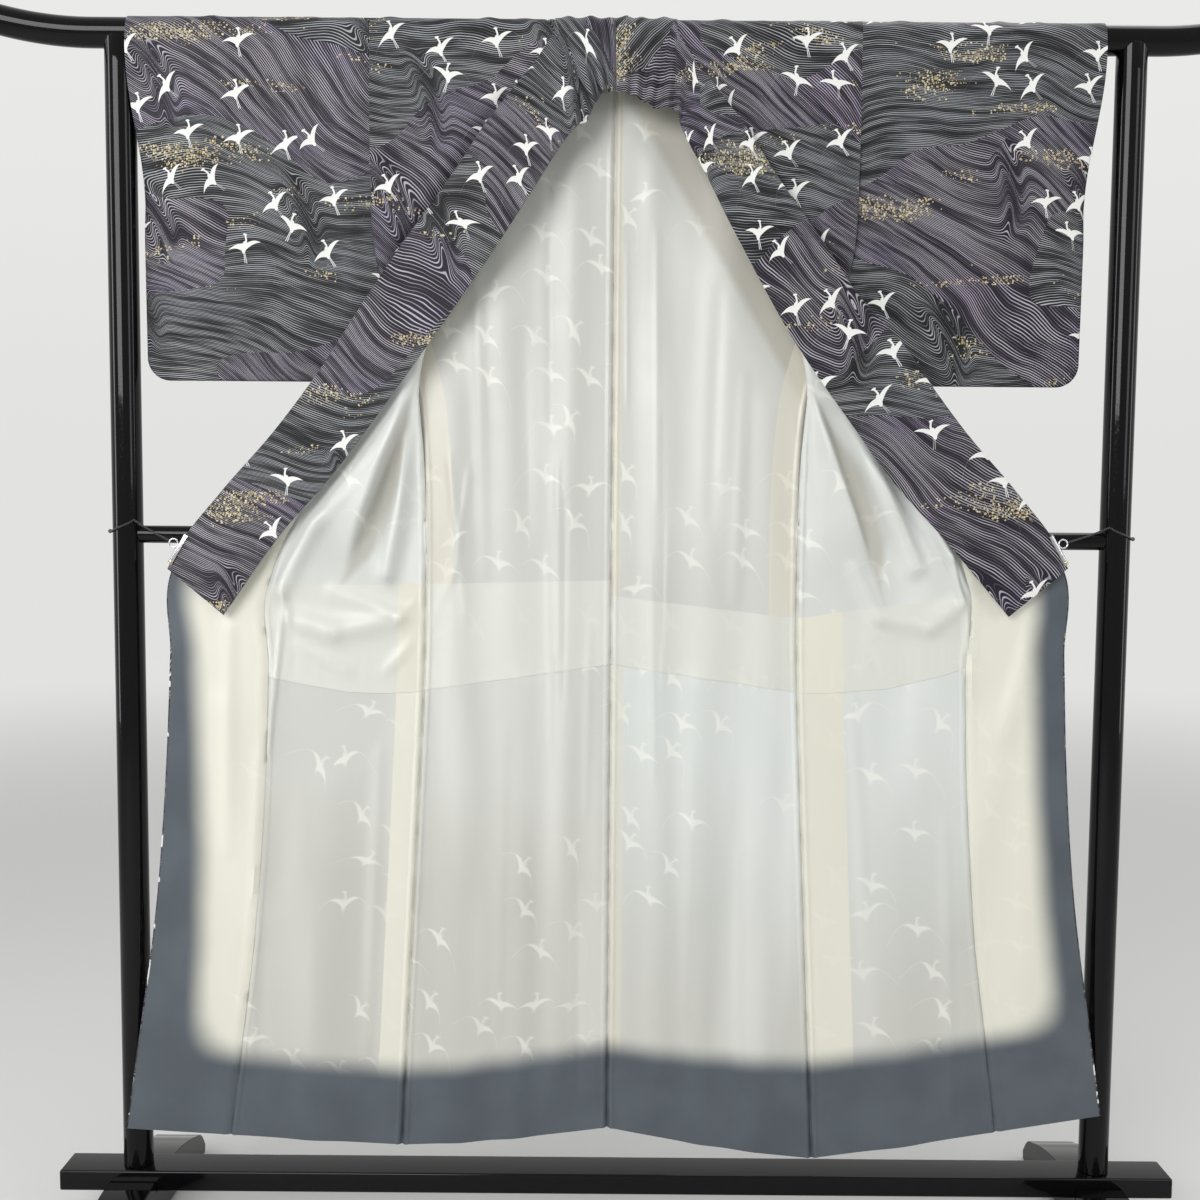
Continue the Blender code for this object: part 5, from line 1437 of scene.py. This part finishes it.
def collar_seam(along, side):
    """Where the collar is sewn: out, depth and fall below the rail's top."""
    neck_drop = mix(NECKLINE_DROP, NECK_SIDE_DROP, along / NECK_HALF) + SEAM_GAP
    turn_drop = NECK_SIDE_DROP + (along - NECK_HALF)
    rail_drop = np.where(along < NECK_HALF, neck_drop, turn_drop)
    rail_out = np.maximum(np.minimum(along, NECK_HALF) - GAP, GAP)
    rail_depth = over_rail(rail_drop, COLLAR_LIFT)[1]
    drop = QUARTER + np.clip(along - NECK_TURN, 0.0, None) / SEAM_STRETCH
    edge = front_points(drop, front_length(drop), side)
    on_rail = along < NECK_TURN + GAP
    out = np.where(on_rail, rail_out, edge[..., 0])
    depth = np.where(on_rail, rail_depth, edge[..., 1])
    fall = np.where(on_rail, rail_drop, RAIL_HEIGHT + QUARTER - edge[..., 2])
    return out, depth, fall


def pleat_stand(along, side):
    """How far the collar's pleats stand out, as bell curves along its seam."""
    total = 0.0 * along
    for pleat in PLEATS:
        if pleat.side != -side.sign:
            total = total + pleat.stand * bell(along - pleat.along, pleat.spread)
    return total


def collar_points(along, part, side):
    """The collar band: part is 0 at its seam and 1 at its free edge. A row is straight
    in the unrolled plane of out and drop. On the rail it wraps round it, and past the
    neck it stands off its seam by the turned-back edge."""
    along, part = np.broadcast_arrays(along, part)
    out, depth, fall = collar_seam(along, side)
    turn = np.clip(read(COLLAR, "along", "turn", along), 0.0, 1.0)
    line = turn * np.clip((part - TURN_SHARE) / (1.0 - TURN_SHARE), 0.0, 1.0) + (1.0 - turn) * part
    free_out = np.maximum(read(COLLAR, "along", side.name + "_out", along), GAP)
    free_depth = read(COLLAR, "along", "depth", along)
    free_fall = RAIL_HEIGHT + QUARTER - read(COLLAR, "along", side.name + "_height", along)
    line_fall = mix(fall, free_fall, line)
    line_out = mix(out, free_out, line)
    pleats = pleat_stand(along, side)
    swell = ripple(line_out, side) + 0.25 * pleats * smooth(line / 0.12)
    wrap_height, wrap_depth = over_rail(line_fall, COLLAR_LIFT + swell)
    hang = np.clip((line_fall - QUARTER) / (free_fall - QUARTER), 0.0, 1.0)
    rail_front = -CLOTH_RADIUS - COLLAR_LIFT
    hang_line = mix(rail_front, free_depth, hang)
    band_line = mix(depth - 2.0 * TURN_RADIUS * turn, free_depth, line)
    line_depth = np.where(fall < QUARTER + GAP, hang_line, band_line)
    wrapped = line_fall < QUARTER
    line_depth = np.where(wrapped, wrap_depth, line_depth)
    line_height = np.where(wrapped, wrap_height, RAIL_HEIGHT + QUARTER - line_fall)
    line_depth = line_depth - pleats * smooth((line_fall - QUARTER) / 0.06) * hang
    wave = np.sin(along * 19.0 + side.pattern) * np.sin(part * 3.0 + along * 7.0)
    line_depth = line_depth - BAND_WAVE * (1.0 + wave) * turn * smooth((part - TURN_SHARE) / 0.2)
    return points_at(line_out, line_depth, line_height)


# The band runs down the front at a slant, and its pattern leans with it
BAND_SLOPE = math.radians(52.0)
for side in SIDES:
    laid = laid_fronts[side.name]
    under = row_at(laid.rows, COLLAR_END) + 1
    rows = np.arange(under)
    no_panel = rows < row_at(laid.rows, OKUMI_TOP)
    edge_column = np.where(no_panel, BODY_COLUMNS - 1, laid.points.shape[1] - 1)
    sewn_edge = laid.points[rows, edge_column]
    way = unit(sewn_edge - laid.points[rows, edge_column - 1])[:, None]
    neck_rows = np.linspace(0.0, NECK_HALF, 28)[:-1]
    turn_rows = NECK_HALF + np.linspace(0.0, QUARTER - NECK_SIDE_DROP, 16)
    front_rows = NECK_TURN + (laid.drop[rows, edge_column] - QUARTER) * SEAM_STRETCH
    along = np.concatenate([neck_rows, turn_rows, front_rows])
    part = np.concatenate([np.linspace(0.0, TURN_SHARE, TURN_COLUMNS),
                           np.linspace(TURN_SHARE, 1.0, BAND_COLUMNS)[1:]])
    band = collar_points(along[:, None], part[None, :], side)
    # Down the front the band leaves its seam the way the cloth there runs, on a cubic
    below = slice(len(along) - under, None)
    last = TURN_COLUMNS - 1
    begin = sewn_edge[:, None] + way * SEAM_GAP
    end = band[below, last][:, None]
    end_way = unit(band[below, last + 1][:, None] - end)
    turn = np.clip(read(COLLAR, "along", "turn", along[below]), 0.0, 1.0)[:, None, None]
    reach = np.linalg.norm(end - begin, axis=-1, keepdims=True)
    reach = 4.0 * TURN_RADIUS * turn + reach * (1.0 - turn)
    share = (part[:last] / TURN_SHARE)[None, :, None]
    ease, leave, arrive = cubic(share)
    band[below, :last] = (begin * (1.0 - ease) + end * ease
                          + reach * (leave * way - arrive * end_way))
    normal = normals(band)
    normal[below, 0] = laid.normal[rows, edge_column]
    flat_along, flat_across = along[:, None], part[None, :] * COLLAR_WIDTH
    cut_x = flat_along * math.cos(BAND_SLOPE) - flat_across * math.sin(BAND_SLOPE)
    cut_y = -flat_along * math.sin(BAND_SLOPE) - flat_across * math.cos(BAND_SLOPE) - 0.3
    cut = points_at(cut_x * side.sign + BAND_PLACE[side.sign], cut_y)
    add_cloth("komon_collar_", band, normal, side, BAND, cut, (komon, lining), "collar_",
              marks=unmarked(band))

# The clips: sprung steel, plated bright, one on each collar end, with a brass rivet and a
# ring. A thin black cord runs from each ring over the cross bar and round the post.
# The clip: the drops between which it grips, its sheet, its mouth and lip, its spine and
# the bend in it, the cloth that it holds, and the air inside
CLIP_FROM = 0.776
CLIP_TO = 0.817
CLIP_STEEL = 0.0010
CLIP_MOUTH = 0.0010
CLIP_LIP = 0.0008
CLIP_SPINE = 0.0066
CLIP_BEND = 0.0022
CLIP_COLLAR = 0.0020
CLIP_CLOTH = 0.0012
CLIP_CLEAR = 0.0004
# The ring: its place from the clip's middle, its radius, its wire, and its points
RING_OUT = 0.0145
RING_UP = 0.004
RING_RADIUS = 0.0060
RING_WIRE = 0.0011
RING_ROWS = 48
WIRE_SIDES = 16
# The lug from the ring to the spine and the rivet's head: places along it, and radii
LUG = ((RING_RADIUS, 0.0075, 0.0088, 0.0096), (0.0016, 0.0019, 0.0021, 0.0016))
RIVET = ((0.0002, -0.0004, -0.0008, -0.0011, -0.00112), (0.0019, 0.0019, 0.0016, 0.0009, 0.0002))
RIVET_UP = 0.004
RIVET_OUT = 0.0035
# The tie: its radius, the air between it and the post, the degrees that it runs round the
# post, how high it crosses the bar, its sag and its knot
TIE_RADIUS = 0.0013
TIE_CLEAR = 0.0009
TIE_AROUND = (-40.0, 195.0)
TIE_LOW = 0.0040
TIE_RISE = 0.0078
TIE_SAG = 0.0012
TIE_SIDES = 12
KNOT_ANGLE = 84.0
KNOT_SPREAD = 7.0
KNOT_RADIUS = 0.0030
# The braid: its strands along the tie and round it
STRANDS = (2600.0, 6.2832 * 3, 1.0)


def bright_metal(name, colour, scratch):
    """Plated metal: fine scratches along it, and a slightly uneven gloss."""
    finish, tree, shader = new_finish(name, colour, 0.16)
    grain = noise(node(tree, "TexCoord").outputs["Object"], scratch, 3.0)
    feed(shader, {
        "Roughness": between(grain, 0.3, 0.7, 0.10, 0.26),
        "Normal": bump(grain, 0.08, 0.0002),
        "Metallic": 1.0,
    })
    return finish


def braided_cord():
    """Black braided cord: two sets of strands that cross, as sines along and round it."""
    finish, tree, shader = new_finish("black_braid", (0.010, 0.010, 0.011), 0.75)
    flat = node(tree, "UVMap", uv_map="cut").outputs[0]
    along, around = parts(vectors("MULTIPLY", flat, STRANDS))[:2]
    braid = (along + around).sine().most((along - around).sine())
    feed(shader, {
        "Base Color": blend(between(braid, -0.2, 1.0), (0.004, 0.004, 0.004),
                            (0.020, 0.020, 0.022)),
        "Normal": bump(braid, 0.5, 0.0003),
        "Sheen Weight": 0.2,
    })
    return finish


def add_fitting(name, rings, finish, side, sharp=50.0, endless=False):
    """Add a part of a clip, made of rings, on its own side."""
    faces = ring_faces(*rings.shape[:2], endless)
    return add_solid(name + side.name, on_own_side(rings, side), faces, finish,
                     "clip_" + side.name, sharp)


def channel(back_jaw, front_jaw):
    """The clip's section in out and depth: its back jaw, a round spine and its front jaw,
    then back outside them. The bend is half an ellipse."""
    middle = (back_jaw + front_jaw) / 2
    bow = np.linspace(math.pi / 2, -math.pi / 2, 17)
    bends = []
    for grown in (0.0, CLIP_STEEL):
        out = CLIP_SPINE - CLIP_BEND + (CLIP_BEND + grown) * np.cos(bow)
        half_open = (back_jaw - front_jaw) / 2 + grown
        bends.append(points_at(out, middle + half_open * np.sin(bow)))
    lip = CLIP_MOUTH - CLIP_LIP
    return np.concatenate([
        [(CLIP_MOUTH, back_jaw)], bends[0], [(CLIP_MOUTH, front_jaw)],
        [(lip, front_jaw - CLIP_STEEL)], bends[1][::-1], [(lip, back_jaw + CLIP_STEEL)],
    ])


steel = bright_metal("plated_steel", (0.70, 0.70, 0.72), 900.0)
brass = bright_metal("brass_rivet", (0.72, 0.55, 0.26), 700.0)
cord = braided_cord()
deep = np.array([0.0, 1.0, 0.0])
for side in SIDES:
    grips = np.array([front_points(drop, front_length(drop), side)
                      for drop in (CLIP_FROM, CLIP_TO)])
    middle = grips.mean(axis=0)
    down = unit(grips[1] - grips[0])
    out_way = unit(np.array([-down[2], 0.0, down[0]]))
    clip_length = float(np.linalg.norm(grips[1] - grips[0]))
    back_jaw = CLIP_CLOTH + GAP + CLIP_CLEAR
    front_jaw = -2.0 * TURN_RADIUS - CLIP_COLLAR - GAP - 2.0 * CLIP_CLEAR
    jaw_mid = (back_jaw + front_jaw) / 2
    section = channel(back_jaw, front_jaw)
    ends = np.array([-0.5, -0.49, -0.48, 0.48, 0.49, 0.5])[:, None] * clip_length
    shrink = np.array([0.97, 0.99, 1.0, 1.0, 0.99, 0.97])[:, None]
    rings = (middle + down * ends[..., None]
             + out_way * (section[:, 0] * shrink)[..., None]
             + deep * (jaw_mid + (section[:, 1] - jaw_mid) * shrink)[..., None])
    add_fitting("steel_clip_jaws_", rings, steel, side, 40.0)
    stack = 2.0 * TURN_RADIUS + CLIP_COLLAR - CLIP_CLOTH
    ring_mid = middle + out_way * RING_OUT - down * RING_UP - deep * stack / 2
    turn = np.linspace(0.0, 2.0 * math.pi, RING_ROWS + 1)[:-1, None, None]
    wire = np.linspace(0.0, 2.0 * math.pi, WIRE_SIDES + 1)[None, :-1, None]
    spoke = out_way * np.cos(turn) + down * np.sin(turn)
    rings = ring_mid + spoke * (RING_RADIUS + RING_WIRE * np.cos(wire))
    rings = rings + deep * RING_WIRE * np.sin(wire)
    add_fitting("steel_ring_", rings, steel, side, endless=True)
    lug = np.stack([ring_mid - out_way * reach for reach in LUG[0]])
    lug[[0, -1]] += out_way * 1e-5
    add_fitting("steel_lug_", tube_rings(lug, LUG[1], deep, 20), steel, side, 40.0)
    rivet_mid = middle + down * (0.5 * clip_length - RIVET_UP) + out_way * RIVET_OUT
    rivet_mid = rivet_mid + deep * (front_jaw - CLIP_STEEL)
    rivet = np.stack([rivet_mid + deep * step for step in RIVET[0]])
    add_fitting("brass_rivet_", tube_rings(rivet, RIVET[1], out_way, 24), brass, side)
    # The cord: from the ring to the post, over the bar, and round the post to its knot
    post_out = POST_SPACING / 2 - side.sign * KIMONO_X
    degrees = np.linspace(*TIE_AROUND, 60)
    rise_share = np.clip((degrees - 90.0) / 90.0, -1.45, 1.2)
    rise = TIE_LOW + TIE_RISE * rise_share ** 2 * smooth(np.abs(rise_share) / 0.8)
    thick = mix(TIE_RADIUS, KNOT_RADIUS, bell(degrees - KNOT_ANGLE, KNOT_SPREAD))
    reach = POST_RADIUS + thick + TIE_CLEAR
    turns = points_at(post_out + reach * np.sin(np.radians(degrees)),
                      -reach * np.cos(np.radians(degrees)), BAR_HEIGHT + rise)
    to_post = turns[0] - ring_mid
    begin = ring_mid + unit(to_post) * (RING_RADIUS + RING_WIRE + TIE_RADIUS)
    steps = np.linspace(0.0, 1.0, 26)[:-1, None]
    sag = np.array([0.0, 0.0, -TIE_SAG]) * np.sin(math.pi * steps)
    path = np.concatenate([mix(begin, turns[0], steps) + sag, turns])
    thickness = np.concatenate([np.full(len(steps), TIE_RADIUS), thick])
    rings = on_own_side(tube_rings(path, thickness, (0.0, 0.0, 1.0), TIE_SIDES), side)
    tie = add_rings("black_tie_" + side.name, rings, cord, "tie_" + side.name, 70.0)
    run = np.concatenate([[0.0], np.cumsum(np.linalg.norm(np.diff(path, axis=0), axis=1))])
    around = np.tile(np.arange(TIE_SIDES) / TIE_SIDES, len(path))
    spots = points_at(np.repeat(run, TIE_SIDES), around)
    corner = np.empty(len(tie.data.loops), dtype=np.int32)
    tie.data.loops.foreach_get("vertex_index", corner)
    tie.data.uv_layers.new(name="cut").data.foreach_set("uv", spots[corner].ravel())

# The floor, the light and the camera: a plain pale floor that runs out into an even pale
# light, one large soft lamp from the upper left, a weaker one from the right and strips.
# The even light behind the object, before it, and overhead, and where the floor fades out
GLOW_BEHIND = 0.76
GLOW_BEFORE = 0.46
GLOW_RISE = 1.08
GLOW_COLOUR = (1.0, 1.0, 0.985, 1.0)
FLOOR_SIZE = 60.0
FADE_FROM = 1.6
FADE_TO = 7.0


def studio_glow(direction):
    """Strength of the even light by its direction: most behind the object, less before it."""
    back, up = parts(direction)[1:]
    level = between(back, -0.5, 0.5, GLOW_BEFORE, GLOW_BEHIND)
    return level * between(up, 0.0, 0.35, 1.0, GLOW_RISE)


corners = [(x * FLOOR_SIZE, y * FLOOR_SIZE, 0.0) for x, y in ((-1, -1), (1, -1), (1, 1), (-1, 1))]
floor_mesh = bpy.data.meshes.new("pale_floor")
floor_mesh.from_pydata(corners, [], [[0, 1, 2, 3]])
floor_finish, floor_tree, floor_shader = new_finish("pale_floor", (0.56, 0.56, 0.555), 0.7)
spot = node(floor_tree, "TexCoord").outputs["Object"]
far = Level(node(floor_tree, "VectorMath", {0: spot}, operation="LENGTH").outputs["Value"])
level = studio_glow(vectors("NORMALIZE", spot))
glow = node(floor_tree, "Emission", {"Color": GLOW_COLOUR, "Strength": level}).outputs[0]
mixed = node(floor_tree, "MixShader", {0: between(far, FADE_FROM, FADE_TO),
                                       1: floor_shader.outputs[0], 2: glow})
feed(floor_tree.nodes["Material Output"], {"Surface": mixed.outputs[0]})
floor_mesh.materials.append(floor_finish)
floor = bpy.data.objects.new("pale_floor", floor_mesh)
bpy.context.collection.objects.link(floor)

world = bpy.data.worlds.new("pale_studio")
world.use_nodes = True
sky = world.node_tree
feed(sky.nodes["Background"], {0: GLOW_COLOUR,
                               1: studio_glow(node(sky, "TexCoord").outputs["Generated"])})
bpy.context.scene.world = world

Lamp = namedtuple("Lamp", "name place aim size power")
LAMPS = (
    Lamp("upper_left_soft", (-1.8, -3.4, 2.4), (0.0, 0.0, 1.0), (2.3, 1.9), 109.0),
    Lamp("right_soft", (2.6, -2.5, 2.0), (0.0, 0.0, 1.0), (0.9, 1.8), 15.0),
    Lamp("left_strip", (-2.4, -0.55, 1.5), (0.0, 0.0, 1.3), (0.35, 2.1), 14.5),
    Lamp("right_strip", (2.4, -0.45, 1.5), (0.0, 0.0, 1.3), (0.35, 2.1), 8.2),
    Lamp("top_soft", (1.1, 0.9, 3.4), (0.9, 0.9, 0.0), (2.4, 1.6), 30.0),
)
for lamp in LAMPS:
    data = bpy.data.lights.new(lamp.name, "AREA")
    data.shape = "RECTANGLE"
    data.size, data.size_y = lamp.size
    data.energy = lamp.power
    made = bpy.data.objects.new(lamp.name, data)
    back_way = unit(np.array(lamp.place) - np.array(lamp.aim))
    right = unit(np.cross((0.0, 0.0, 1.0), back_way))
    turn_to = Matrix(np.stack([right, np.cross(back_way, right), back_way], axis=1).tolist())
    made.matrix_world = Matrix.Translation(lamp.place) @ turn_to.to_4x4()
    bpy.context.collection.objects.link(made)

camera_data = bpy.data.cameras.new("photo_camera")
camera_data.lens = 39.0
camera_data.sensor_width = 36.0
camera = bpy.data.objects.new("photo_camera", camera_data)
camera.matrix_world = (Matrix.Translation((-0.030, -1.86, 1.051))
                       @ Matrix.Rotation(math.radians(90.0 - 3.96), 4, "X")
                       @ Matrix.Rotation(math.radians(0.45), 4, "Z"))
bpy.context.collection.objects.link(camera)
bpy.context.scene.camera = camera
bpy.context.scene.view_settings.view_transform = "Standard"

# The flat size of each sheet of cloth, as cut: width, length and area of what shows
Cut = namedtuple("Cut", "piece width length area rests_on")
